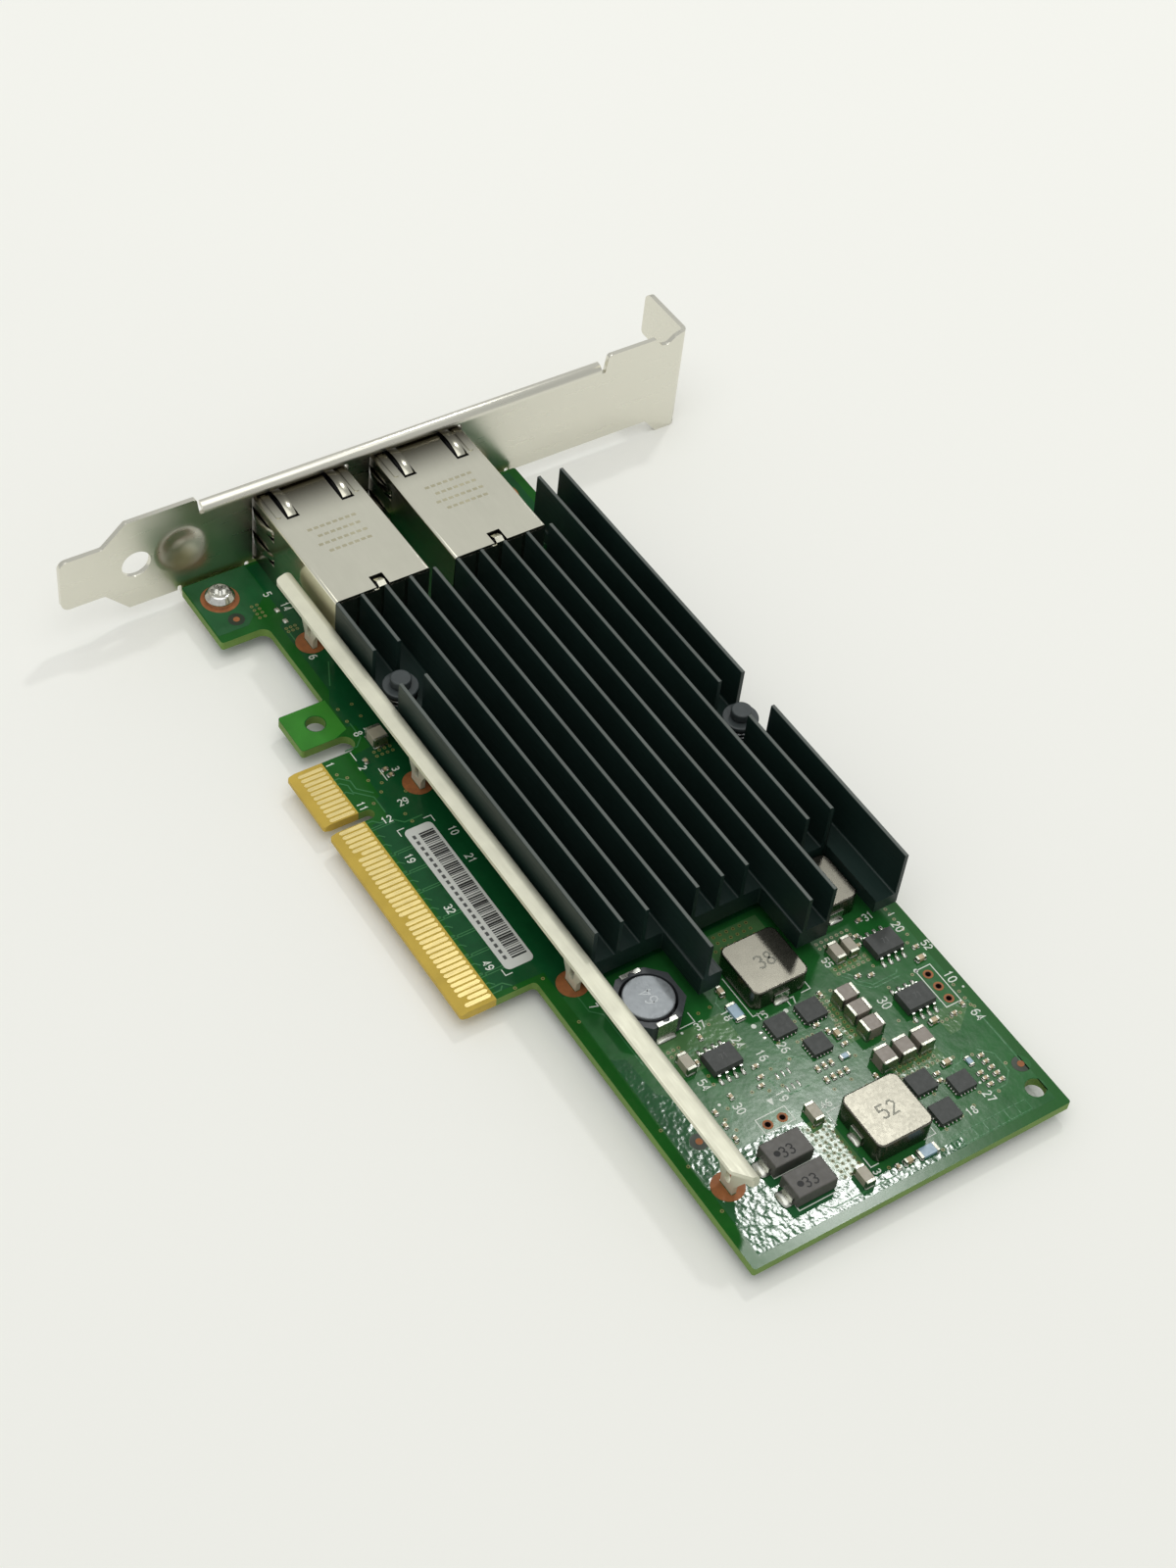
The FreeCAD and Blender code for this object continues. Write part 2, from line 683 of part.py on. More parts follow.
def bracket_screw(place):
    """Pan-head machine screw with a six-lobed recess; the thread is left plain."""
    radius = SCREW_HEAD_DIAMETER / 2
    shank = SCREW_SHANK_DIAMETER / 2
    top = PAD_THICK + SCREW_HEAD_HEIGHT
    end = -BOARD_THICK - SHEET - SCREW_POINT_LENGTH
    profile = [
        (0.0, end),
        (shank - 0.4, end),
        (shank, end + 0.4),
        (shank, PAD_THICK),
        (radius, PAD_THICK),
        (radius, PAD_THICK + SCREW_HEAD_HEIGHT * 0.45, 0.25),
        (radius * 0.72, top, 0.6),
        (0.0, top),
    ]
    screw = turned(profile, place)
    floor = top - RECESS_DEPTH
    lobes = [
        post(
            (RECESS_REACH * math.cos(math.radians(turn)), RECESS_REACH * math.sin(math.radians(turn))),
            RECESS_LOBE_DIAMETER,
            floor,
            top + 1.0,
        )
        for turn in range(0, 360, 60)
    ]
    recess = joined(post((0.0, 0.0), RECESS_CORE_DIAMETER, floor, top + 1.0), *lobes)
    return screw.cut(moved(recess, *place))


# ---------------------------------------------------------------------------- modular jacks


def spring_finger(start, end, low, high, face, bulge):
    """Curved strip in the (x, height) plane that springs out of a face and dips at its tip."""
    middle = (start + end) / 2
    outer = Part.Arc(
        vector(start, face), vector(middle - 0.4, face + bulge), vector(end, face - FINGER_DIP)
    ).toShape()
    inner = Part.Arc(
        vector(end - 0.1, face - FINGER_DIP - SHIELD_SHEET),
        vector(middle - 0.4, face + bulge - SHIELD_SHEET),
        vector(start, face - SHIELD_SHEET),
    ).toShape()
    ends = [
        Part.LineSegment(
            vector(end, face - FINGER_DIP), vector(end - 0.1, face - FINGER_DIP - SHIELD_SHEET)
        ),
        Part.LineSegment(vector(start, face - SHIELD_SHEET), vector(start, face)),
    ]
    wire = Part.Wire([outer, ends[0].toShape(), inner, ends[1].toShape()])
    finger = Part.Face(wire).extrude(vector(0, 0, high - low))
    return along_y(finger, high)


def top_fingers():
    """Two fingers and their slots in the top of the shield, about y = 0."""
    start = JACK_FRONT + 0.6
    slots, fingers = [], []
    for side in (-1, 1):
        centre = side * FINGER_OFFSET
        slots.append(
            block(
                (start, start + FINGER_SLOT_LENGTH),
                (centre - FINGER_SLOT_WIDTH / 2, centre + FINGER_SLOT_WIDTH / 2),
                (JACK_HEIGHT - 2.0, JACK_HEIGHT + 1.0),
            )
        )
        low = centre - FINGER_SLOT_WIDTH / 2 + (FINGER_SLOT_WIDTH - FINGER_WIDTH) * 0.8
        fingers.append(
            spring_finger(
                start, start + FINGER_SLOT_LENGTH - FINGER_TIP_GAP, low, low + FINGER_WIDTH,
                JACK_HEIGHT, FINGER_BULGE,
            )
        )
    return slots, fingers


def side_fingers():
    """Two fingers and their slots in each side wall; the strips spring outwards."""
    start = JACK_FRONT + 0.6
    half = JACK_WIDTH / 2
    slots, fingers = [], []
    for height in (5.0, 10.3):
        low, high = height - FINGER_SLOT_WIDTH / 2, height + FINGER_SLOT_WIDTH / 2
        slots.append(
            block((start, start + FINGER_SLOT_LENGTH), (-half - 1.0, half + 1.0), (low, high))
        )
        strip_low = low + (FINGER_SLOT_WIDTH - FINGER_WIDTH) * 0.5
        finger = spring_finger(
            start, start + FINGER_SLOT_LENGTH - FINGER_TIP_GAP, strip_low, strip_low + FINGER_WIDTH,
            half, FINGER_BULGE,
        )
        finger.rotate(vector(0, 0), vector(1, 0, 0), -90)
        left = moved(finger, z=strip_low + FINGER_WIDTH + strip_low)
        left = left.mirror(vector(0, 0, 0), vector(0, 1, 0)) if left.BoundBox.YMax > 0 else left
        right = left.mirror(vector(0, 0, 0), vector(0, 1, 0))
        shift = strip_low - left.BoundBox.ZMin
        fingers += [moved(left, z=shift), moved(right, z=shift)]
    return slots, fingers


def jack_shield():
    """Folded shield about y = 0: open at the front and underneath, with solder legs."""
    half = JACK_WIDTH / 2
    rear_top = JACK_HEIGHT - SHIELD_SHEET - 0.35
    section = [
        (-half, JACK_STANDOFF),
        (-half, JACK_HEIGHT, 0.5),
        (half, JACK_HEIGHT, 0.5),
        (half, JACK_STANDOFF),
        (half - SHIELD_SHEET, JACK_STANDOFF),
        (half - SHIELD_SHEET, JACK_HEIGHT - SHIELD_SHEET, 0.2),
        (-half + SHIELD_SHEET, JACK_HEIGHT - SHIELD_SHEET, 0.2),
        (-half + SHIELD_SHEET, JACK_STANDOFF),
    ]
    shell = side_plate(section, JACK_FRONT, JACK_REAR)
    rear = block(
        (JACK_REAR - SHIELD_SHEET, JACK_REAR), (-half + 0.1, half - 0.1), (JACK_STANDOFF, rear_top)
    )
    notch = block((JACK_REAR - 2.6, JACK_REAR + 1.0), (-1.2, 1.2), (JACK_HEIGHT - 1.0, JACK_HEIGHT + 1.0))
    hook = front_plate(
        ribbon(
            [
                (JACK_REAR - SHIELD_SHEET / 2, rear_top - 0.5),
                (JACK_REAR - SHIELD_SHEET / 2, JACK_HEIGHT - 0.25),
                (JACK_REAR - 0.9, JACK_HEIGHT + 0.05),
                (JACK_REAR - 2.1, JACK_HEIGHT - 0.5),
            ],
            SHIELD_SHEET,
        ),
        -0.7,
        0.7,
    )
    rib_sides = [
        (side * (half - RIB_INSET) - RIB_WIDTH / 2, side * (half - RIB_INSET) + RIB_WIDTH / 2)
        for side in (-1, 1)
    ]
    ribs = [
        plate(
            rectangle((JACK_FRONT + 0.8, JACK_FRONT + 7.3), sides, 0.4),
            JACK_HEIGHT - 0.1,
            JACK_HEIGHT + 0.15,
        )
        for sides in rib_sides
    ]
    leg_floor = -BOARD_THICK - JACK_LEG_LENGTH
    legs = [
        front_plate(
            [
                (x - JACK_LEG_WIDTH / 2, JACK_STANDOFF + 0.2),
                (x - JACK_LEG_WIDTH / 2, leg_floor + 0.5),
                (x - JACK_LEG_WIDTH / 4, leg_floor),
                (x + JACK_LEG_WIDTH / 4, leg_floor),
                (x + JACK_LEG_WIDTH / 2, leg_floor + 0.5),
                (x + JACK_LEG_WIDTH / 2, JACK_STANDOFF + 0.2),
            ],
            low,
            low + SHIELD_SHEET,
        )
        for x in JACK_LEG_PLACES
        for low in (-half, half - SHIELD_SHEET)
    ]
    top_slots, top_strips = top_fingers()
    side_slots, side_strips = side_fingers()
    shell = shell.cut([notch, *top_slots, *side_slots])
    return joined(shell, rear, hook, *ribs, *legs, *top_strips, *side_strips)


def plug_cavity():
    """Room for a modular plug about y = 0, with its latch towards the board."""
    half, latch, step = PLUG_WIDTH / 2, LATCH_WIDTH / 2, LATCH_STEP_WIDTH / 2
    section = [
        (-half, PLUG_FLOOR),
        (-latch, PLUG_FLOOR),
        (-latch, LATCH_FLOOR),
        (-step, LATCH_FLOOR),
        (-step, LATCH_STEP_FLOOR),
        (step, LATCH_STEP_FLOOR),
        (step, LATCH_FLOOR),
        (latch, LATCH_FLOOR),
        (latch, PLUG_FLOOR),
        (half, PLUG_FLOOR),
        (half, PLUG_FLOOR + PLUG_HEIGHT),
        (-half, PLUG_FLOOR + PLUG_HEIGHT),
    ]
    return side_plate(section, JACK_FRONT - 1.0, JACK_FRONT + PLUG_DEPTH)


def jack_housing():
    """Moulded insert about y = 0, relieved behind the shield's spring fingers."""
    inset = SHIELD_SHEET + HOUSING_CLEARANCE
    half = JACK_WIDTH / 2 - inset
    body = block(
        (JACK_FRONT + 0.2, JACK_REAR - inset),
        (-half, half),
        (JACK_STANDOFF + 0.1, JACK_HEIGHT - inset),
    )
    relief_end = JACK_FRONT + FINGER_SLOT_LENGTH + 0.9
    reliefs = [
        block(
            (JACK_FRONT + 0.5, relief_end),
            (side * FINGER_OFFSET - FINGER_SLOT_WIDTH / 2, side * FINGER_OFFSET + FINGER_SLOT_WIDTH / 2),
            (JACK_HEIGHT - 1.5, JACK_HEIGHT),
        )
        for side in (-1, 1)
    ]
    reliefs += [
        block(
            (JACK_FRONT + 0.5, relief_end),
            (side * half - 1.2, side * half + 1.2),
            (height - FINGER_SLOT_WIDTH / 2, height + FINGER_SLOT_WIDTH / 2),
        )
        for side in (-1, 1)
        for height in (5.0, 10.3)
    ]
    latch_room = block((JACK_REAR - 3.2, JACK_REAR), (-1.3, 1.3), (JACK_HEIGHT - 1.5, JACK_HEIGHT))
    return body.cut([plug_cavity(), latch_room, *reliefs]).removeSplitter()


def jack_contacts():
    """Eight sprung wires that hang from the cavity's ceiling, about y = 0."""
    ceiling = PLUG_FLOOR + PLUG_HEIGHT
    rear = JACK_FRONT + PLUG_DEPTH
    path = [
        (JACK_FRONT + 3.0, ceiling - JACK_WIRE_THICK / 2),
        (JACK_FRONT + 4.0, ceiling - JACK_WIRE_THICK / 2),
        (rear - 2.4, ceiling - 2.4),
        (rear - 0.05, ceiling - 2.4),
    ]
    strip = ribbon(path, JACK_WIRE_THICK)
    first = -(JACK_WIRES - 1) / 2 * JACK_WIRE_PITCH
    half = JACK_WIRE_THICK / 2
    centres = [first + index * JACK_WIRE_PITCH for index in range(JACK_WIRES)]
    return [front_plate(strip, centre - half, centre + half) for centre in centres]


# ---------------------------------------------------------------------------- heat sink


def fin_face(index):
    """Lower face of a fin, counted from the edge-connector side."""
    return FIRST_FIN_FACE + index * FIN_PITCH


def heatsink_section():
    """Extruded comb as (y, z) points: flat underside, fins and rounded roots."""
    points = [(FIRST_FIN_FACE, HEATSINK_UNDERSIDE, 0.2)]
    points.append((fin_face(FIN_COUNT - 1) + FIN_THICK, HEATSINK_UNDERSIDE, 0.2))
    for index in reversed(range(FIN_COUNT)):
        low, high = fin_face(index), fin_face(index) + FIN_THICK
        points.append((high, FIN_TOP, 0.15))
        points.append((low, FIN_TOP, 0.15))
        if index:
            gap_from_top = FIN_COUNT - 1 - index
            floor = LOW_FLOOR_HEIGHT if gap_from_top < LOW_FLOOR_GAPS else FLOOR_HEIGHT
            points.append((low, floor, FIN_ROOT_RADIUS))
            points.append((low - FIN_PITCH + FIN_THICK, floor, FIN_ROOT_RADIUS))
    return points


def heatsink_plan():
    """Stepped outline of the heat sink seen from above."""
    end, short = HEATSINK_END, HEATSINK_END - SHORT_FIN_SETBACK
    notch = HEATSINK_END - NOTCH_SETBACK
    margin = FIN_EDGE_MARGIN
    top = fin_face(FIN_COUNT - 1) + FIN_THICK + 1.0
    long_start = HEATSINK_START - LONG_FIN_LEAD
    return [
        (HEATSINK_START, FIRST_FIN_FACE - 1.0),
        (short, FIRST_FIN_FACE - 1.0),
        (short, fin_face(3) - margin, 0.3),
        (end, fin_face(3) - margin),
        (end, fin_face(4) - 1.2),
        (short, fin_face(4) - 1.2, 0.3),
        (short, fin_face(7) - margin, 0.3),
        (end, fin_face(7) - margin),
        (end, fin_face(8) + FIN_THICK),
        (notch, fin_face(8) + FIN_THICK, 0.3),
        (notch, fin_face(10) + FIN_THICK, 0.3),
        (end, fin_face(10) + FIN_THICK),
        (end, top),
        (long_start, top),
        (long_start, fin_face(10) - margin),
        (HEATSINK_START, fin_face(10) - margin, 0.3),
    ]


def push_pin_places():
    first_row = (fin_face(0) + fin_face(1) + FIN_THICK) / 2 + 0.3
    last_row = (fin_face(FIN_COUNT - 2) + fin_face(FIN_COUNT - 1) + FIN_THICK) / 2 - 0.3
    return ((POCKET_CENTRES[0], first_row), (POCKET_CENTRES[1], last_row))


def heatsink():
    comb = side_plate(heatsink_section(), HEATSINK_START - LONG_FIN_LEAD, HEATSINK_END)
    blank = comb.common(plate(heatsink_plan(), 0.0, FIN_TOP + 1.0))
    cuts = []
    floors = (FLOOR_HEIGHT, LOW_FLOOR_HEIGHT)
    rows = ((0, 1), (FIN_COUNT - 2, FIN_COUNT - 1))
    for place, floor, (first, last) in zip(push_pin_places(), floors, rows):
        cuts.append(
            block(
                (place[0] - POCKET_LENGTH / 2, place[0] + POCKET_LENGTH / 2),
                (fin_face(first) - 1.0, fin_face(last) + FIN_THICK + 1.0),
                (floor, FIN_TOP + 1.0),
            )
        )
        bore = PIN_SHAFT_DIAMETER + 4 * PIN_HOLE_CLEARANCE
        cuts.append(post(place, bore, 0.0, FLOOR_HEIGHT))
        cuts.append(post(place, SPRING_POCKET_DIAMETER, SPRING_POCKET_FLOOR, FLOOR_HEIGHT + 0.5))
    return blank.cut(cuts).removeSplitter()


def push_pin(place):
    """Moulded pin: button, spring flange, shaft through the board, and a split barbed tip."""
    head, flange = PIN_HEAD_DIAMETER / 2, PIN_FLANGE_DIAMETER / 2
    shaft, barb = PIN_SHAFT_DIAMETER / 2, PIN_BARB_DIAMETER / 2
    neck_top = PIN_HEAD_TOP - PIN_HEAD_HEIGHT
    flange_top = neck_top - PIN_NECK_HEIGHT
    flange_low = flange_top - PIN_FLANGE_THICK
    seat = -BOARD_THICK - 0.05
    tip = -BOARD_THICK - PIN_TIP_LENGTH
    profile = [
        (0.0, tip),
        (shaft * 0.6, tip, 0.2),
        (barb, seat - 0.5, 0.1),
        (barb, seat),
        (shaft, seat),
        (shaft, flange_low),
        (flange, flange_low),
        (flange, flange_top, 0.2),
        (head - 0.3, flange_top),
        (head - 0.3, neck_top),
        (head, neck_top),
        (head, PIN_HEAD_TOP, 0.3),
        (0.0, PIN_HEAD_TOP),
    ]
    pin = turned(profile, place)
    split = block(
        (place[0] - 3.0, place[0] + 3.0),
        (place[1] - PIN_SPLIT_WIDTH / 2, place[1] + PIN_SPLIT_WIDTH / 2),
        (tip - 1.0, 0.0),
    )
    return pin.cut(split)


def push_pin_spring(place):
    """Compression spring between the heat sink and the pin's flange; its wire has eight sides."""
    flange_low = PIN_HEAD_TOP - PIN_HEAD_HEIGHT - PIN_NECK_HEIGHT - PIN_FLANGE_THICK
    seat = SPRING_POCKET_FLOOR + SPRING_WIRE / 2 + 0.02
    height = flange_low - SPRING_WIRE / 2 - 0.02 - seat
    coil_radius = (SPRING_DIAMETER - SPRING_WIRE) / 2
    helix = Part.makeHelix(height / SPRING_TURNS, height, coil_radius)
    turns = [math.radians(22.5 + 45 * side) for side in range(8)]
    corners = [
        vector(coil_radius + SPRING_WIRE / 2 * math.cos(a), 0, SPRING_WIRE / 2 * math.sin(a))
        for a in turns
    ]
    section = Part.makePolygon(corners + corners[:1])
    coil = Part.Wire(helix).makePipeShell([section], True, True)
    coil.translate(vector(place[0], place[1], seat))
    return coil


# ---------------------------------------------------------------------------- controller


def square_plate(centre, side, low, high, radius=0.0):
    return plate(rectangle(*around(centre, (side, side)), radius=radius), low, high)


def controller_lid():
    lid = square_plate(CONTROLLER_CENTRE, LID_SIDE, SUBSTRATE_THICK, LID_TOP, 0.8)
    step = square_plate(CONTROLLER_CENTRE, LID_SIDE - 4.0, LID_TOP - 0.25, LID_TOP + 0.1, 0.6)
    rim_cut = square_plate(CONTROLLER_CENTRE, LID_SIDE + 1.0, LID_TOP - 0.25, LID_TOP + 0.1)
    return lid.cut(rim_cut.cut(step))


# ---------------------------------------------------------------------------- stiffener


def stiffener_web():
    """Upright web with its four eyed legs, as (x, z) points."""
    floor = STIFFENER_WEB_FLOOR
    half = STIFFENER_LEG_WIDTH / 2
    flare = STIFFENER_LEG_FLARE
    foot = -BOARD_THICK - STIFFENER_LEG_LENGTH
    bend_line = STIFFENER_TOP - STIFFENER_BEND_RADIUS - STIFFENER_SHEET
    points = [
        (STIFFENER_START, bend_line),
        (STIFFENER_START, floor + 1.0, 0.5),
        (STIFFENER_START + 1.0, floor, 0.5),
    ]
    for x in STIFFENER_LEGS:
        points += [
            (x - half - flare, floor, 1.2),
            (x - half, floor - flare * 2.0, 1.5),
            (x - half, foot + 0.6, 0.3),
            (x - half * 0.5, foot, 0.3),
            (x + half * 0.5, foot, 0.3),
            (x + half, foot + 0.6, 0.3),
            (x + half, floor - flare * 2.0, 1.5),
            (x + half + flare, floor, 1.2),
        ]
    points += [
        (STIFFENER_END - 1.0, floor, 0.5),
        (STIFFENER_END, floor + 1.0, 0.5),
        (STIFFENER_END, bend_line),
    ]
    face = STIFFENER_WEB_FACE
    web = front_plate(points, face - STIFFENER_SHEET, face)
    eyes = [
        front_plate(
            rectangle(
                (x - STIFFENER_EYE_WIDTH / 2, x + STIFFENER_EYE_WIDTH / 2),
                (
                    STIFFENER_EYE_CENTRE - STIFFENER_EYE_HEIGHT / 2,
                    STIFFENER_EYE_CENTRE + STIFFENER_EYE_HEIGHT / 2,
                ),
                STIFFENER_EYE_WIDTH / 2 - 0.01,
            ),
            face - STIFFENER_SHEET - 1.0,
            face + 1.0,
        )
        for x in STIFFENER_LEGS
    ]
    return web.cut(eyes)


def stiffener():
    """Folded strip: the top shelf leans over the edge connector and has slanted ends."""
    sheet, inner = STIFFENER_SHEET, STIFFENER_BEND_RADIUS
    outer = inner + sheet
    face = STIFFENER_WEB_FACE
    centre = (face - outer, STIFFENER_TOP - outer)
    length = STIFFENER_END - STIFFENER_START
    ring = Part.makeCylinder(outer, length, vector(STIFFENER_START, *centre), vector(1, 0, 0))
    bore = Part.makeCylinder(inner, length, vector(STIFFENER_START, *centre), vector(1, 0, 0))
    quarter = block(
        (STIFFENER_START, STIFFENER_END), (centre[0], face + 1.0), (centre[1], STIFFENER_TOP + 1.0)
    )
    corner = ring.cut(bore).common(quarter)
    slant = STIFFENER_END_SLANT
    edge = face - STIFFENER_DEPTH
    shelf = plate(
        [
            (STIFFENER_START, centre[0]),
            (STIFFENER_START + STIFFENER_START_SLANT, edge, 1.2),
            (STIFFENER_END - slant, edge, 0.8),
            (STIFFENER_END, centre[0]),
        ],
        STIFFENER_TOP - sheet,
        STIFFENER_TOP,
    )
    return joined(stiffener_web(), corner, shelf)


# ---------------------------------------------------------------------------- inductors


def power_inductor(centre, size):
    """Pressed-powder block with rounded corners and a relieved foot."""
    body = plate(
        rectangle(*around(centre, size), radius=INDUCTOR_RADIUS), CLIP_THICK, INDUCTOR_HEIGHT
    )
    edges = [edge for edge in body.Edges if edge.BoundBox.ZMin > INDUCTOR_HEIGHT - 0.01]
    return body.makeFillet(0.25, edges)


def inductor_clips(centre, size, along_x):
    """Strip terminals folded from the underside up two opposite sides."""
    reach = (size[0] if along_x else size[1]) / 2
    path = [
        (reach - 1.6, CLIP_THICK / 2),
        (reach + CLIP_THICK / 2, CLIP_THICK / 2),
        (reach + CLIP_THICK / 2, INDUCTOR_HEIGHT * 0.5),
    ]
    strip = front_plate(ribbon(path, CLIP_THICK), -CLIP_WIDTH / 2, CLIP_WIDTH / 2)
    clips = []
    for turn in (0, 180) if along_x else (90, 270):
        clip = strip.copy()
        clip.rotate(vector(0, 0), vector(0, 0, 1), turn)
        clips.append(moved(clip, *centre))
    return clips


def drum_shell(centre):
    half, cut = DRUM_SIDE / 2, DRUM_CORNER_CUT
    x, y = centre
    octagon = [
        (x - half, y - half + cut, 0.3),
        (x - half + cut, y - half, 0.3),
        (x + half - cut, y - half, 0.3),
        (x + half, y - half + cut, 0.3),
        (x + half, y + half - cut, 0.3),
        (x + half - cut, y + half, 0.3),
        (x - half + cut, y + half, 0.3),
        (x - half, y + half - cut, 0.3),
    ]
    shell = plate(octagon, CLIP_THICK, DRUM_SHELL_HEIGHT)
    return shell.cut(post(centre, DRUM_BORE, CLIP_THICK + 0.4, DRUM_SHELL_HEIGHT + 1.0))


def drum_core(centre):
    radius, post_radius = DRUM_CORE_DIAMETER / 2, DRUM_POST_DIAMETER / 2
    low, high = CLIP_THICK + 0.4, DRUM_CORE_HEIGHT
    profile = [
        (0.0, low),
        (radius, low),
        (radius, low + DRUM_FLANGE),
        (post_radius, low + DRUM_FLANGE),
        (post_radius, high - DRUM_FLANGE),
        (radius, high - DRUM_FLANGE),
        (radius, high, 0.2),
        (0.0, high),
    ]
    return turned(profile, centre)


def drum_winding(centre):
    low, high = CLIP_THICK + 0.4 + DRUM_FLANGE, DRUM_CORE_HEIGHT - DRUM_FLANGE
    ring = post(centre, DRUM_WINDING_DIAMETER, low, high)
    return ring.cut(post(centre, DRUM_POST_DIAMETER, low, high))


def drum_clips(centre):
    """Two terminals clamped over the shell, each with a wire notch in its edge."""
    reach = DRUM_SIDE / 2
    path = [
        (reach - 1.8, CLIP_THICK / 2),
        (reach + CLIP_THICK / 2, CLIP_THICK / 2),
        (reach + CLIP_THICK / 2, DRUM_SHELL_HEIGHT + CLIP_THICK / 2),
        (DRUM_BORE / 2 + 0.1, DRUM_SHELL_HEIGHT + CLIP_THICK / 2),
    ]
    strip = front_plate(ribbon(path, CLIP_THICK), -1.7, 1.7)
    notch = post((DRUM_BORE / 2, 0.0), 1.2, DRUM_SHELL_HEIGHT - 0.5, DRUM_SHELL_HEIGHT + 1.0)
    strip = strip.cut(notch)
    clips = []
    for turn in (0, 180):
        clip = strip.copy()
        clip.rotate(vector(0, 0), vector(0, 0, 1), turn)
        clips.append(moved(clip, *centre))
    return clips


# ---------------------------------------------------------------------------- chips


def eight_pin_body(centre):
    """Small-outline body with the drafted sides of a moulded package."""
    length, width, height = SOIC_BODY
    low = 0.12
    section = [
        (-length / 2 + 0.15, low),
        (-length / 2, low + height * 0.45),
        (-length / 2 + 0.15, low + height),
        (length / 2 - 0.15, low + height),
        (length / 2, low + height * 0.45),
        (length / 2 - 0.15, low),
    ]
    body = front_plate(section, -width / 2, width / 2)
    return moved(body, *centre)


def eight_pin_leads(centre):
    """Four gull-wing leads on each of two sides."""
    width, thick = SOIC_LEAD
    body_edge = SOIC_BODY[0] / 2 - 0.02
    shoulder = 0.12 + SOIC_BODY[2] * 0.45
    path = [
        (body_edge, shoulder),
        (body_edge + 0.32, shoulder),
        (body_edge + 0.5, SOLDER_GAP + thick / 2),
        (SOIC_SPAN / 2, SOLDER_GAP + thick / 2),
    ]
    strip = front_plate(ribbon(path, thick), -width / 2, width / 2)
    leads = []
    for turn in (0, 180):
        for index in range(4):
            lead = moved(strip, y=(index - 1.5) * SOIC_PITCH)
            lead.rotate(vector(0, 0), vector(0, 0, 1), turn)
            leads.append(moved(lead, *centre))
    return [lead.cut(eight_pin_body(centre)) for lead in leads]


def driver_body(centre, size):
    """Flat no-lead package."""
    return plate(rectangle(*around(centre, size)), SOLDER_GAP, DRIVER_HEIGHT)


def driver_pads(centre, size, count):
    """Row of terminals at the foot of each package side that faces +Y and -Y."""
    width, proud = DRIVER_PAD
    pitch = (size[0] - 0.7) / (count - 1)
    pads = []
    for side in (-1, 1):
        edge = centre[1] + side * size[1] / 2
        span = (min(edge, edge + side * proud), max(edge, edge + side * proud))
        for index in range(count):
            x = centre[0] + (index - (count - 1) / 2) * pitch
            pads.append(block((x - width / 2, x + width / 2), span, (0.0, 0.28)))
    return pads


def tantalum_body(centre):
    """Moulded capacitor with drafted sides."""
    width, length, height = TANTALUM_BODY
    low = 0.25
    x_range, y_range = around((0, 0), (width, length))
    base = plate(rectangle(x_range, y_range), low, low + height)
    drafted = base.makeChamfer(
        0.12, [edge for edge in base.Edges if edge.BoundBox.ZMin > low + height - 0.01]
    )
    return moved(drafted, *centre)


def tantalum_leads(centre):
    """Strip terminals folded down both ends and under the body."""
    half = TANTALUM_BODY[1] / 2
    span = TANTALUM_SPAN / 2
    path = [
        (half + 0.0, 1.3),
        (span - 0.1, 1.3),
        (span - 0.1, 0.1),
        (span - 1.4, 0.1),
    ]
    strip = front_plate(ribbon(path, 0.2), -TANTALUM_LEAD_WIDTH / 2, TANTALUM_LEAD_WIDTH / 2)
    leads = []
    for turn in (90, 270):
        lead = strip.copy()
        lead.rotate(vector(0, 0), vector(0, 0, 1), turn)
        leads.append(moved(lead, *centre))
    return leads


def chip_body(centre, size, along_x, cap):
    """Ceramic block between its two end caps."""
    width, depth, height = size
    if along_x:
        width -= 2 * cap
    else:
        depth -= 2 * cap
    return plate(rectangle(*around(centre, (width, depth))), SOLDER_GAP, height - SOLDER_GAP)


def chip_caps(centre, size, along_x, cap):
    """Plated ends of a chip part, rounded along their upper edges."""
    width, depth, height = size
    caps = []
    for side in (-1, 1):
        if along_x:
            middle = (centre[0] + side * (width - cap) / 2, centre[1])
            sides = around(middle, (cap, depth))
        else:
            middle = (centre[0], centre[1] + side * (depth - cap) / 2)
            sides = around(middle, (width, cap))
        caps.append(plate(rectangle(*sides), 0.0, height))
    return caps


# ---------------------------------------------------------------------------- parts placing

# Places are (x, y) on the board. Those of the power section are given from the free end.


def from_end(*places):
    return [(BOARD_FREE_END - inset, *rest) for inset, *rest in places]


POWER_INDUCTORS = {
    "power_inductor_1": (from_end((40.5, 42.4))[0], (INDUCTOR_SIDE, INDUCTOR_SIDE), True),
    "power_inductor_2": (from_end((10.3, 42.4))[0], (INDUCTOR_SIDE, INDUCTOR_SIDE), False),
    "power_inductor_3": (
        (
            HEATSINK_END - NOTCH_SETBACK + 0.5 + SMALL_INDUCTOR_SIZE[0] / 2,
            (fin_face(8) + fin_face(10)) / 2 + FIN_THICK,
        ),
        SMALL_INDUCTOR_SIZE,
        True,
    ),
}
DRUM_INDUCTOR = from_end((43.2, 23.7))[0]
REGULATORS = from_end((36.1, 61.8), (25.6, 59.8), (30.5, 28.3))
TANTALUM_CAPACITORS = from_end((12.8, 26.8), (7.2, 26.8))
DRIVERS = [
    (place[:2], size)
    for place, size in zip(
        from_end((31.4, 39.4), (31.5, 45.0), (26.0, 42.3), (13.2, 51.4), (10.4, 56.7), (7.5, 51.4)),
        ((3.5, 3.8), (3.5, 3.8), (3.1, 3.4), (3.5, 3.8), (3.1, 3.4), (3.5, 3.8)),
    )
]

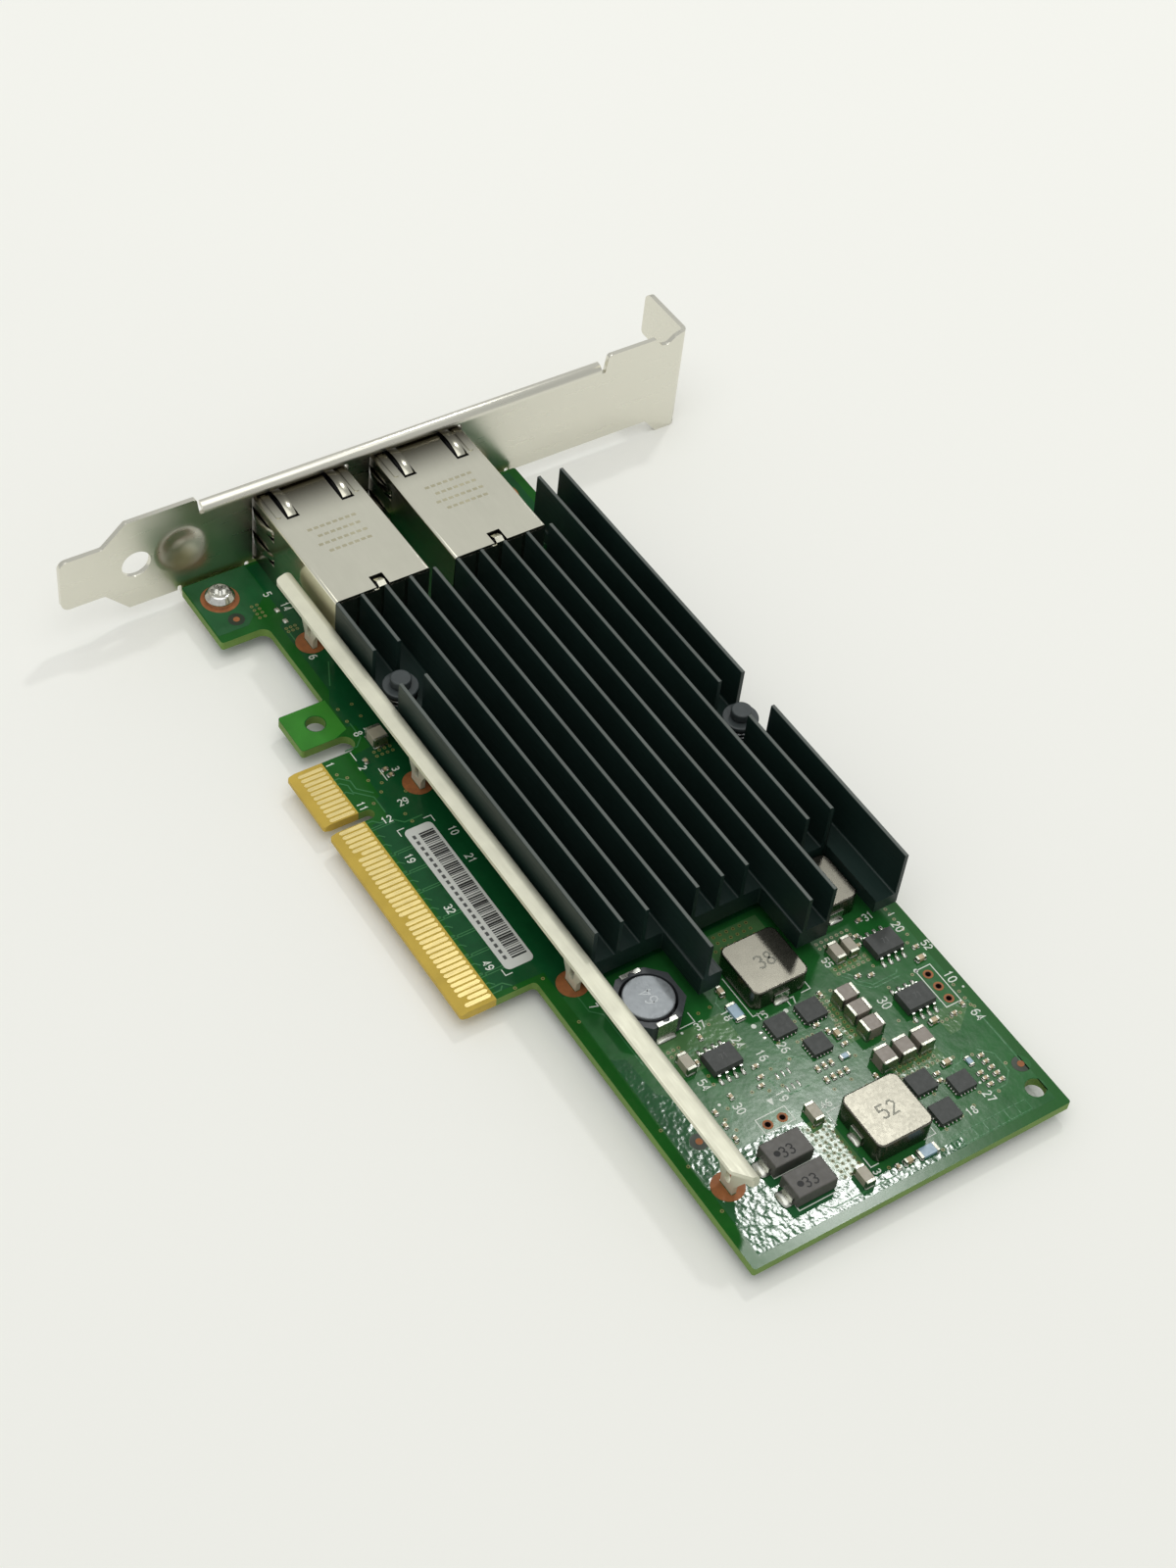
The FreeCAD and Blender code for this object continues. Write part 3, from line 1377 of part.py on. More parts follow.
# Chip parts: (inset from the free end, y, long side along X).
LARGE_CAPACITOR = (3.2, 2.5, 2.5)
LARGE_CAPACITORS = from_end(
    (30.7, 50.6, False), (27.6, 50.6, False), (24.4, 50.6, False),
    (18.9, 48.9, True), (18.9, 52.3, True), (18.9, 55.7, True),
)
MEDIUM_CAPACITOR = (3.2, 1.6, 1.6)
MEDIUM_CAPACITORS = from_end(
    (38.2, 54.5, True), (38.2, 56.9, True), (16.4, 34.5, True), (4.3, 34.5, True),
    (32.4, 23.4, True),
)
CHIP_RESISTOR = (3.2, 1.6, 0.6)
CHIP_RESISTORS = from_end((36.8, 35.2, True), (3.5, 45.2, False))
SMALL_CHIP = (1.6, 0.8, 0.8)
SMALL_CAPACITORS = from_end(
    (26.3, 46.0, True), (21.2, 60.0, False), (14.3, 57.0, False), (31.4, 65.4, False),
    (3.5, 41.9, False), (40.9, 35.3, True),
)
SMALL_RESISTORS = from_end((22.6, 44.7, False), (12.9, 60.2, True))
TINY_CHIP = (1.0, 0.5, 0.45)
TINY_PARTS = from_end(
    (22.7, 39.9, True), (22.7, 41.1, True), (22.7, 42.3, True),
    (20.5, 39.9, True), (20.5, 41.1, True), (20.5, 42.3, True), (20.5, 43.5, True),
    (12.9, 62.3, False), (11.7, 62.3, False), (10.5, 62.4, False), (9.3, 62.4, False),
    (8.1, 62.4, False), (10.5, 60.3, False), (9.4, 60.4, False), (8.2, 60.4, False),
    (39.6, 59.3, False), (38.0, 58.6, False), (41.9, 61.6, False), (33.6, 66.2, False),
    (33.4, 55.1, False), (32.6, 57.0, False), (33.4, 48.1, True), (27.4, 45.2, True),
    (24.4, 46.0, False), (27.5, 32.2, False), (25.6, 31.8, False), (24.3, 31.0, False),
    (24.9, 26.1, True), (13.5, 54.6, False), (12.3, 54.2, False), (20.9, 63.6, False),
    (21.7, 65.8, True), (3.5, 40.0, True), (35.6, 28.1, True), (32.1, 25.2, True),
    (23.7, 22.6, True), (21.2, 22.6, True), (18.7, 22.6, True), (17.5, 46.6, True),
    (29.1, 44.3, False),
)
LOOSE_CAPACITOR = (3.2, 2.5, 2.0)
LOOSE_CAPACITOR_PLACE = (-12.7, 15.9, True)
BRACKET_END_PARTS = [(-6.7, 14.0, False), (-5.3, 14.2, False), (-9.6, 12.2, True)]


def chip_group(places, size, cap):
    """Bodies and end caps of alike chip parts, each place with its own direction."""
    bodies, caps = [], []
    for x, y, along_x in places:
        turned_size = size if along_x else (size[1], size[0], size[2])
        bodies.append(chip_body((x, y), turned_size, along_x, cap))
        caps += chip_caps((x, y), turned_size, along_x, cap)
    return bodies, caps


# ---------------------------------------------------------------------------- assembly


def all_nodes():
    """Every named node with its solids."""
    nodes = {
        "circuit_board": [circuit_board()],
        "edge_contacts_front": edge_contacts(0.0, CONTACT_THICK),
        "edge_contacts_back": edge_contacts(-BOARD_THICK - CONTACT_THICK, -BOARD_THICK),
        "ground_pads": ground_pads(),
        "label": [label()],
        "bracket": [bracket()],
        "bracket_screws": [bracket_screw(place) for place in SCREW_PLACES],
        "heatsink": [heatsink()],
        "controller_substrate": [
            square_plate(CONTROLLER_CENTRE, SUBSTRATE_SIDE, 0.0, SUBSTRATE_THICK)
        ],
        "controller_lid": [controller_lid()],
        "thermal_pad": [
            square_plate(
                CONTROLLER_CENTRE, min(THERMAL_PAD_SIDE, LID_SIDE - 4.0), LID_TOP,
                HEATSINK_UNDERSIDE,
            )
        ],
        "stiffener": [stiffener()],
    }
    shield, housing, contacts = jack_shield(), jack_housing(), jack_contacts()
    for index, centre in enumerate(JACK_CENTRES, start=1):
        nodes[f"jack_{index}_shield"] = [moved(shield, y=centre)]
        nodes[f"jack_{index}_housing"] = [moved(housing, y=centre)]
        nodes[f"jack_{index}_contacts"] = [moved(wire, y=centre) for wire in contacts]
    for index, place in enumerate(push_pin_places(), start=1):
        nodes[f"push_pin_{index}"] = [push_pin(place)]
        nodes[f"push_pin_spring_{index}"] = [push_pin_spring(place)]
    for name, (centre, size, along_x) in POWER_INDUCTORS.items():
        nodes[name] = [power_inductor(centre, size)]
        nodes[f"{name}_clips"] = inductor_clips(centre, size, along_x)
    nodes["drum_inductor_shell"] = [drum_shell(DRUM_INDUCTOR)]
    nodes["drum_inductor_core"] = [drum_core(DRUM_INDUCTOR)]
    nodes["drum_inductor_winding"] = [drum_winding(DRUM_INDUCTOR)]
    nodes["drum_inductor_clips"] = drum_clips(DRUM_INDUCTOR)
    for index, centre in enumerate(REGULATORS, start=1):
        nodes[f"regulator_{index}"] = [eight_pin_body(centre)]
        nodes[f"regulator_{index}_leads"] = eight_pin_leads(centre)
    for index, centre in enumerate(TANTALUM_CAPACITORS, start=1):
        nodes[f"tantalum_capacitor_{index}"] = [tantalum_body(centre)]
        nodes[f"tantalum_capacitor_{index}_leads"] = tantalum_leads(centre)
    pads = []
    for index, (centre, size) in enumerate(DRIVERS, start=1):
        nodes[f"driver_{index}"] = [driver_body(centre, size)]
        pads += driver_pads(centre, size, 5)
    nodes["driver_pads"] = pads
    groups = {
        "large_capacitors": [(LARGE_CAPACITORS, LARGE_CAPACITOR, 0.5)],
        "medium_capacitors": [
            (MEDIUM_CAPACITORS, MEDIUM_CAPACITOR, 0.5),
            ([LOOSE_CAPACITOR_PLACE], LOOSE_CAPACITOR, 0.5),
        ],
        "chip_resistors": [
            (CHIP_RESISTORS, CHIP_RESISTOR, 0.45),
            (SMALL_RESISTORS, (1.6, 0.8, 0.45), 0.3),
        ],
        "small_capacitors": [(SMALL_CAPACITORS, SMALL_CHIP, 0.35)],
        "tiny_parts": [(TINY_PARTS + BRACKET_END_PARTS, TINY_CHIP, 0.25)],
    }
    for name, rows in groups.items():
        bodies, caps = [], []
        for places, size, cap in rows:
            row_bodies, row_caps = chip_group(places, size, cap)
            bodies += row_bodies
            caps += row_caps
        nodes[name] = bodies
        nodes[f"{name}_ends"] = caps
    return nodes


def save(name, solids):
    shape = solids[0] if len(solids) == 1 else Part.makeCompound(solids)
    shape.exportStep(os.path.join("parts", f"{name}.step"))
    volume = sum(solid.Volume for solid in solids)
    print(f"{name}: {len(shape.Solids)} solid(s), valid {shape.isValid()}, {volume:.2f} mm3")


os.makedirs("parts", exist_ok=True)
for node_name, node_solids in all_nodes().items():
    save(node_name, node_solids)
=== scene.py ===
"""Looks of a dual-port network interface card: finishes, copper and ink on the board, solder, studio."""

import logging
import math
from collections.abc import Sequence
from dataclasses import dataclass, field
from enum import Enum

import bpy
import numpy as np
from mathutils import Matrix, Vector
from mathutils.geometry import tessellate_polygon


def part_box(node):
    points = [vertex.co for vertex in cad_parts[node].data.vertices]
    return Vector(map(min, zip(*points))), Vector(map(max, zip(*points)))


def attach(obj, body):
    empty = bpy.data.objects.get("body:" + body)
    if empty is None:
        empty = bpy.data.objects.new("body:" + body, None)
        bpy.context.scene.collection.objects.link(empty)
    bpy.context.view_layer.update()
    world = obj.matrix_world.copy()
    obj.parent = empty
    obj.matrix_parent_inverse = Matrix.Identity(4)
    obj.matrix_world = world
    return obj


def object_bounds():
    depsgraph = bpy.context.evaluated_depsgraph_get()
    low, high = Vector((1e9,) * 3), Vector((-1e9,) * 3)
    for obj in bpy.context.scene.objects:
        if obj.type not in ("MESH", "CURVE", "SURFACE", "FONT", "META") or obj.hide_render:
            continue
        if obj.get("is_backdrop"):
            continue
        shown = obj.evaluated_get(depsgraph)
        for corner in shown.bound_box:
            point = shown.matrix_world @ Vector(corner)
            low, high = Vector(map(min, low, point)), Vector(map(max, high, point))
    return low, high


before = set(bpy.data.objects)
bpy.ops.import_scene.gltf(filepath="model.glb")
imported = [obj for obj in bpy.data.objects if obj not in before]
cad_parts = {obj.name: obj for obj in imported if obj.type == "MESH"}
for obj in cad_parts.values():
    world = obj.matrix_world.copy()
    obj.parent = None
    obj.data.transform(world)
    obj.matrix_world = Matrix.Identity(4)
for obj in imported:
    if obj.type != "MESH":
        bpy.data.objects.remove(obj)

LOG = logging.getLogger("card")
MM = 0.001
NOISE_SPAN = {"From Min": 0.3, "From Max": 0.7}  # the range that soft noise mostly keeps to
Point = tuple[float, float]
Triple = tuple[float, float, float]
Mound = tuple[float, float, float, float, float]
Box = tuple[np.ndarray, np.ndarray]
Tree = bpy.types.NodeTree
Socket = bpy.types.NodeSocket


class Slot(Enum):
    """Slots of the record, given with each new piece."""

    BOARD = "board_laminate"
    COPPER = "bare_copper"
    PAPER = "label_paper"
    STEEL = "bright_steel"
    TIN = "tinned_terminal"


# ------------------------------------------------------------------------------- colour and nodes


def linear(code: str) -> tuple[float, float, float, float]:
    """Turns an sRGB hex colour into linear light.

    Args:
        code: Colour such as "#1A2B3C".

    Returns:
        Red, green, blue and an alpha of one.
    """
    parts = [int(code[i : i + 2], 16) / 255 for i in (1, 3, 5)]
    light = [p / 12.92 if p <= 0.04045 else ((p + 0.055) / 1.055) ** 2.4 for p in parts]
    return (*light, 1.0)


def per_metre(size_mm: float) -> float:
    """Scale of a pattern whose features are about the given size."""
    return 1.0 / (size_mm * MM)


def swing(middle: float, share: float) -> dict[str, float]:
    """Output range of a value that moves up and down by a share of itself."""
    return {"To Min": middle * (1 - share), "To Max": middle * (1 + share)}


def fill(node: bpy.types.Node, sockets: dict[str | int, object]) -> None:
    """Sets a node's inputs, or links them where another node's output is given.

    Args:
        node: The node.
        sockets: Input name or number, with its value or an output socket.
    """
    for key, value in sockets.items():
        if isinstance(value, Socket):
            node.id_data.links.new(value, node.inputs[key])
        else:
            node.inputs[key].default_value = value


def add_node(
    tree: Tree, kind: str, sockets: dict[str | int, object] | None = None, **settings: object
) -> bpy.types.Node:
    """Adds one node, sets its properties, and fills its inputs.

    Args:
        tree: Node tree that gets the node.
        kind: Blender's node type, without its "ShaderNode" start.
        sockets: Input name or number, with its value or an output socket.
        settings: Properties of the node itself.

    Returns:
        The new node.
    """
    made = tree.nodes.new("ShaderNode" + kind)
    for key, value in settings.items():
        setattr(made, key, value)
    fill(made, sockets or {})
    return made


def place_on(tree: Tree) -> Socket:
    """Place on the object, in metres, from the node that every finish adds first."""
    return tree.nodes["place"].outputs["Object"]


# ------------------------------------------------------------------------------- finishes


@dataclass(frozen=True)
class Layer:
    """Soft noise of one size: relief where it has a depth, and drawn out where it is stretched."""

    size_mm: float
    depth_mm: float = 0.0
    detail: float = 2.0
    stretch: Triple | None = None

    def sockets(self, tree: Tree) -> dict[str | int, object]:
        """What a noise node's inputs are set or linked to for this noise.

        Args:
            tree: Node tree of the material.

        Returns:
            The place on the object, drawn out where it is stretched, the scale and the detail.
        """
        place = place_on(tree)
        if self.stretch:
            place = add_node(tree, "Mapping", {"Vector": place, "Scale": self.stretch}).outputs[0]
        return {"Vector": place, "Scale": per_metre(self.size_mm), "Detail": self.detail}


@dataclass(frozen=True)
class Finish:
    """A surface with one body colour and a faint mottle, which the other finishes build on."""

    name: str
    colour: str
    roughness: float
    metallic: float = 0.0
    mottle: float = 0.06
    mottle_mm: float = 4.0
    bump_mm: float = 0.0
    bump_depth_mm: float = 0.0
    specular: float = 0.5
    gloss_drift: float = 0.12
    gloss_patch: float = 0.6

    def build(self) -> bpy.types.Material:
        """Makes the material, or finds it where it is already made.

        Returns:
            The material.
        """
        if self.name in bpy.data.materials:
            return bpy.data.materials[self.name]
        material = bpy.data.materials.new(self.name)
        material.diffuse_color = linear(self.colour)
        material.use_nodes = True
        tree = material.node_tree
        add_node(tree, "TexCoord", name="place")
        fill(tree.nodes["Principled BSDF"], self.inputs(tree))
        return material

    def inputs(self, tree: Tree) -> dict[str | int, object]:
        """Adds the patterns of colour, gloss and relief.

        Args:
            tree: Node tree of the material.

        Returns:
            What each input of the shader is set or linked to.
        """
        made = {
            "Metallic": self.metallic,
            "Specular IOR Level": self.specular,
            "Base Color": self.hue(tree),
            "Roughness": self.gloss(tree),
        }
        for layer in self.layers():
            noise = add_node(tree, "TexNoise", layer.sockets(tree)).outputs["Fac"]
            bump = {"Height": noise, "Distance": layer.depth_mm * MM}
            if "Normal" in made:
                bump["Normal"] = made["Normal"]
            made["Normal"] = add_node(tree, "Bump", bump).outputs["Normal"]
        return made

    def hue(self, tree: Tree) -> Socket:
        """The body colour with its mottle, under whatever is laid over it.

        Args:
            tree: Node tree of the material.

        Returns:
            The colour.
        """
        colour = self.mottled(tree, self.colour)
        for share, over in self.overlays(tree):
            both = {"Factor": share, "A": colour, "B": over}
            colour = add_node(tree, "Mix", both, data_type="RGBA").outputs[2]
        return colour

    def overlays(self, tree: Tree) -> list[tuple[Socket, object]]:
        """Colours laid over the body colour, each after the share of it that shows."""
        return []

    def gloss(self, tree: Tree) -> Socket:
        """Lets the roughness drift across the surface.

        Args:
            tree: Node tree of the material.

        Returns:
            The roughness.
        """
        noise = add_node(tree, "TexNoise", self.gloss_layer().sockets(tree)).outputs["Fac"]
        sockets = {"Value": noise, **NOISE_SPAN, **swing(self.roughness, self.gloss_drift)}
        return add_node(tree, "MapRange", sockets).outputs["Result"]

    def gloss_layer(self) -> Layer:
        """Pattern that the roughness follows."""
        return Layer(self.mottle_mm * self.gloss_patch)

    def layers(self) -> tuple[Layer, ...]:
        """Relief, the widest layer first."""
        return (Layer(self.bump_mm, self.bump_depth_mm, 3.0),) if self.bump_depth_mm else ()

    def mottled(self, tree: Tree, code: str) -> Socket:
        """A colour, made a little lighter and darker by slow noise.

        Args:
            tree: Node tree of the material.
            code: The colour, in sRGB hex.

        Returns:
            The mottled colour.
        """
        noise = add_node(tree, "TexNoise", Layer(self.mottle_mm).sockets(tree)).outputs["Fac"]
        cloud = {"Value": noise, **NOISE_SPAN, **swing(1.0, self.mottle)}
        gain = add_node(tree, "MapRange", cloud).outputs["Result"]
        sockets = {"Factor": 1.0, "A": linear(code), "B": gain}
        return add_node(tree, "Mix", sockets, data_type="RGBA", blend_type="MULTIPLY").outputs[2]


@dataclass(frozen=True)
class SolderMask(Finish):
    """Green epoxy mask: glossy, with slow swells, and on them dimples that break up a lamp's image."""

    mottle: float = 0.12
    specular: float = 0.2
    dimple_mm: float = 0.95
    dimple_depth_mm: float = 0.027
    swell_mm: float = 3.0
    swell_depth_mm: float = 0.012

    def layers(self) -> tuple[Layer, ...]:
        """Swells, then dimples."""
        swells = Layer(self.swell_mm, self.swell_depth_mm, 1.0)
        return swells, Layer(self.dimple_mm, self.dimple_depth_mm, 1.0)


@dataclass(frozen=True)
class BoardLaminate(Finish):
    """Masked faces, yellow-green glass-and-resin edges, and a bare tongue under the contacts."""

    edge_colour: str = "#7F9A3E"
    edge_roughness: float = 0.55
    level: float = 0.97
    tongue_colour: str = "#A9862C"
    tongue_middle_mm: Point = (13.5, 2.0)
    tongue_half_mm: Point = (26.4, 4.0)

    def sawn(self, tree: Tree) -> Socket:
        """One on the sawn edges, and nought on the level faces, which carry the mask.

        Args:
            tree: Node tree of the material.

        Returns:
            The share of bare edge.
        """
        facing = add_node(tree, "NewGeometry").outputs["Normal"]
        tilt = add_node(tree, "SeparateXYZ", {0: facing}).outputs["Z"]
        flat = add_node(tree, "Math", {0: tilt}, operation="ABSOLUTE").outputs[0]
        return add_node(tree, "Math", {0: flat, 1: self.level}, operation="LESS_THAN").outputs[0]

    def overlays(self, tree: Tree) -> list[tuple[Socket, object]]:
        """The edges' colour, and the tongue's within its half sizes of its middle.

        Args:
            tree: Node tree of the material.

        Returns:
            Share and colour of each.
        """
        at = add_node(tree, "SeparateXYZ", {0: place_on(tree)}).outputs
        within = {}
        for axis, (middle, half) in enumerate(zip(self.tongue_middle_mm, self.tongue_half_mm)):
            span = {0: at[axis], 1: middle * MM, 2: half * MM}
            within[axis] = add_node(tree, "Math", span, operation="COMPARE").outputs[0]
        tongue = add_node(tree, "Math", within, operation="MULTIPLY").outputs[0]
        edge, bare = (self.mottled(tree, code) for code in (self.edge_colour, self.tongue_colour))
        return [(self.sawn(tree), edge), (tongue, bare)]

    def gloss(self, tree: Tree) -> Socket:
        """Glossy mask between dull sawn edges.

        Args:
            tree: Node tree of the material.

        Returns:
            The roughness.
        """
        sockets = {"Value": self.sawn(tree), "To Min": self.roughness, "To Max": self.edge_roughness}
        return add_node(tree, "MapRange", sockets).outputs["Result"]


@dataclass(frozen=True)
class RolledSheet(Finish):
    """Plated sheet metal: fine rolling lines along one axis, and slow waviness in its mirror."""

    line_mm: float = 0.12
    line_depth_mm: float = 0.0006
    wave_mm: float = 9.0
    wave_depth_mm: float = 0.01
    gloss_drift: float = 0.2
    stretch: Triple = (1.0, 0.04, 1.0)

    def gloss_layer(self) -> Layer:
        """The rolling lines."""
        return Layer(self.line_mm, self.line_depth_mm, stretch=self.stretch)

    def layers(self) -> tuple[Layer, ...]:
        """Waves, then rolling lines."""
        return Layer(self.wave_mm, self.wave_depth_mm, 1.0), self.gloss_layer()


@dataclass(frozen=True)
class BracketSheet(RolledSheet):
    """Plated bracket sheet, duller where a dimple was pressed into it, with a painted brown reflection
    over the dimple.
    """

    dimple_middle_mm: Triple = (0.0, 5.25, 5.0)
    dimple_span_mm: Point = (0.69, 4.6)
    # Painted reflection: the brown that the dimple mirrors from the copper and the screw nearby.
    painted_dimple_reflection: str = "#B0A988"
    dimple_roughness: float = 0.42

    def pressed(self, tree: Tree) -> Socket:
        """Share of the painted reflection and of the dulling: one in the middle of the dimple, nought at
        its foot.

        Args:
            tree: Node tree of the material.

        Returns:
            The share.
        """
        across = {0: place_on(tree), 1: (0, 1, 1)}
        flat = add_node(tree, "VectorMath", across, operation="MULTIPLY").outputs[0]
        ends = {0: flat, 1: Vector(self.dimple_middle_mm) * MM}
        reach = add_node(tree, "VectorMath", ends, operation="DISTANCE").outputs["Value"]
        inner, outer = self.dimple_span_mm
        fade = {"Value": reach, "From Min": outer * MM, "From Max": inner * MM}
        return add_node(tree, "MapRange", fade, interpolation_type="SMOOTHSTEP").outputs["Result"]

    def overlays(self, tree: Tree) -> list[tuple[Socket, object]]:
        """The painted brown reflection over the dimple."""
        return [(self.pressed(tree), linear(self.painted_dimple_reflection))]

    def gloss(self, tree: Tree) -> Socket:
        """Mixes the dimple's dulling in.

        Args:
            tree: Node tree of the material.

        Returns:
            The roughness.
        """
        both = {"Factor": self.pressed(tree), "A": super().gloss(tree), "B": self.dimple_roughness}
        return add_node(tree, "Mix", both, data_type="FLOAT").outputs[0]


@dataclass(frozen=True)
class AnodisedFins(RolledSheet):
    """Anodised extrusion, with a painted highlight of paler grey on the upward faces of its fin tips."""

    # Painted highlight: a paler grey on the fin tips' upward faces.
    tip_colour: str = "#5A605C"
    tip_height_mm: float = 13.2
    tip_slope: Point = (0.5, 0.95)

    def overlays(self, tree: Tree) -> list[tuple[Socket, object]]:
        """The painted highlight's colour, on upward faces above the height where only fin tips are.

        Args:
            tree: Node tree of the material.

        Returns:
            Its share and the colour.
        """
        height = add_node(tree, "SeparateXYZ", {0: place_on(tree)}).outputs["Z"]
        facing = add_node(tree, "NewGeometry").outputs["Normal"]
        upward = add_node(tree, "SeparateXYZ", {0: facing}).outputs["Z"]
        above = {0: height, 1: self.tip_height_mm * MM}
        high = add_node(tree, "Math", above, operation="GREATER_THAN").outputs[0]
        slope = {"Value": upward, "From Min": self.tip_slope[0], "From Max": self.tip_slope[1]}
        level = add_node(tree, "MapRange", slope).outputs["Result"]
        share = add_node(tree, "Math", {0: high, 1: level}, operation="MULTIPLY").outputs[0]
        return [(share, self.mottled(tree, self.tip_colour))]


@dataclass(frozen=True)
class ShieldPlate(RolledSheet):
    """Tinned shield, drawn darker and browner towards the mouth of the jack."""

    mouth_colour: str = "#332E1F"
    mouth_span_mm: Point = (-58.0, -48.0)

    def overlays(self, tree: Tree) -> list[tuple[Socket, object]]:
        """The mouth's colour, which fades out along the jack.

        Args:
            tree: Node tree of the material.

        Returns:
            Its share and the colour.
        """
        along = add_node(tree, "SeparateXYZ", {0: place_on(tree)}).outputs["X"]
        mouth, clear = self.mouth_span_mm
        span = {"Value": along, "From Min": clear * MM, "From Max": mouth * MM}
        fade = add_node(tree, "MapRange", span, interpolation_type="SMOOTHSTEP").outputs["Result"]
        return [(fade, linear(self.mouth_colour))]


@dataclass(frozen=True)
class GrainedMetal(Finish):
    """Tin or pressed metal: small flat grains, each with a tone and gloss of its own."""

    grain_mm: float = 0.5
    grain_depth_mm: float = 0.004
    grain_contrast: float = 0.12
    gloss_drift: float = 0.2
    lump: float = 1.4

    def grains(self, tree: Tree) -> Socket:
        """One even tone for each grain: cells round scattered middles.

        Args:
            tree: Node tree of the material.

        Returns:
            The tone, from nought to one.
        """
        sockets = {"Vector": place_on(tree), "Scale": per_metre(self.grain_mm)}
        cells = add_node(tree, "TexVoronoi", sockets).outputs["Color"]
        return add_node(tree, "SeparateColor", {0: cells}).outputs[0]

    def hue(self, tree: Tree) -> Socket:
        """Makes some grains paler and some darker.

        Args:
            tree: Node tree of the material.

        Returns:
            The colour.
        """
        tone = {"Value": self.grains(tree), **swing(1.0, self.grain_contrast)}
        gain = add_node(tree, "MapRange", tone).outputs["Result"]
        both = {"Factor": 1.0, "A": super().hue(tree), "B": gain}
        return add_node(tree, "Mix", both, data_type="RGBA", blend_type="MULTIPLY").outputs[2]

    def gloss(self, tree: Tree) -> Socket:
        """Makes some grains glossier than others.

        Args:
            tree: Node tree of the material.

        Returns:
            The roughness.
        """
        tone = {"Value": self.grains(tree), **swing(self.roughness, self.gloss_drift)}
        return add_node(tree, "MapRange", tone).outputs["Result"]

    def layers(self) -> tuple[Layer, ...]:
        """Soft lumps, a little wider than the grains."""
        return (Layer(self.grain_mm * self.lump, self.grain_depth_mm),)


@dataclass(frozen=True)
class SweepPaper(Finish):
    """White paper of the floor, with a painted glow that makes it a little brighter towards the far side,
    where it is best lit.
    """

    glow_span_mm: Point = (-150.0, 450.0)
    bearing: Triple = (-0.78, 0.62, 0.0)
    glow: float = 0.12

    def inputs(self, tree: Tree) -> dict[str | int, object]:
        """Adds the painted glow, for the camera and for mirrors only, so that it lights nothing.

        Args:
            tree: Node tree of the material.

        Returns:
            What each input of the shader is set or linked to.
        """
        # Painted light: the glow rises towards the far side and stands in for the better light there.
        ahead = {0: place_on(tree), 1: self.bearing}
        along = add_node(tree, "VectorMath", ahead, operation="DOT_PRODUCT").outputs["Value"]
        near, far = self.glow_span_mm
        span = {"Value": along, "From Min": near * MM, "From Max": far * MM, "To Max": self.glow}
        rise = add_node(tree, "MapRange", span).outputs["Result"]
        path = add_node(tree, "LightPath").outputs
        seen = path["Is Camera Ray"]
        for ray in ("Is Glossy Ray", "Is Transmission Ray"):
            either = {0: seen, 1: path[ray]}
            seen = add_node(tree, "Math", either, operation="ADD", use_clamp=True).outputs[0]
        strength = add_node(tree, "Math", {0: rise, 1: seen}, operation="MULTIPLY").outputs[0]
        glow = {"Emission Color": linear(self.colour), "Emission Strength": strength}
        return {**super().inputs(tree), **glow}


# Nickel-plated steel sheet, rolled and folded: a warm grey soft mirror, whose slow waves bend what it
# shows. The rolling lines are drawn five times as coarse as real ones, so that they show.
# Its dimple carries a painted brown reflection.
NICKEL_SHEET = BracketSheet(
    "nickel_sheet", "#E0DED2", 0.28, 1.0, mottle=0.01, mottle_mm=20.0, line_mm=0.6,
    line_depth_mm=0.00003, wave_mm=16.0, wave_depth_mm=0.004, gloss_drift=0.03,
)
# Tin-plated brass of the jack shields, stamped thin: a clearer mirror, drawn darker and browner towards
# the mouth.
SHIELD_PLATE = ShieldPlate(
    "shield_plate", "#EDEBDA", 0.2, 1.0, mottle=0.02, mottle_mm=8.0, line_depth_mm=0.0002,
    wave_mm=6.0, wave_depth_mm=0.003, stretch=(0.04, 1.0, 1.0),
)
# Laser-etched tin: the same metal made matt, so the dashes look a little darker than the plate.
ETCHED_MARK = Finish("etched_mark", "#BDB89E", 0.36, 0.9)
# Zinc-plated steel screws, cold-headed: bright and blue-white.
ZINC_PLATE = GrainedMetal("zinc_plate", "#DADAD6", 0.14, 1.0, grain_mm=0.3, grain_depth_mm=0.001)
# Matt tin on the folded stiffener, drawn along its length: almost white, with no mirror.
MATT_TIN = RolledSheet(
    "matt_tin", "#E0DFCB", 0.5, 0.5, mottle=0.05, mottle_mm=3.0, line_mm=0.2,
    line_depth_mm=0.002, wave_mm=5.0, wave_depth_mm=0.008, stretch=(0.05, 1.0, 1.0),
)
# Tin solder, melted and set on terminals and joints: rounded, and bright in small spots.
REFLOWED_TIN = GrainedMetal("reflowed_tin", "#C4C5BD", 0.26, 1.0, grain_mm=0.25, grain_depth_mm=0.002)
# Tin plated on the ends of chip parts in a barrel: greyer and duller than solder.
PLATED_END = GrainedMetal("plated_end", "#A6A69B", 0.32, 1.0, grain_mm=0.25, grain_depth_mm=0.002)
# Black anodised aluminium, extruded: a hard blue-green black with a satin sheen and drawn lines, and a
# painted paler highlight on the fin tips.
BLACK_ANODISED = AnodisedFins(
    "fin_anodising", "#192A26", 0.38, 0.0, mottle=0.15, mottle_mm=12.0, specular=0.3,
    line_mm=0.25, line_depth_mm=0.0008, wave_mm=20.0, wave_depth_mm=0.003, stretch=(0.05, 1.0, 1.0),
)
# Woven glass and epoxy under liquid solder mask, with sawn edges: deep glossy green between dull
# yellow-green rims. The weave is drawn at twice its real pitch.
MASKED_BOARD = BoardLaminate(
    "masked_board", "#16581A", 0.16, mottle=0.08, mottle_mm=5.0, bump_mm=1.2, bump_depth_mm=0.003,
    specular=0.2, edge_colour="#6C8A42", tongue_colour="#C2A648",
)
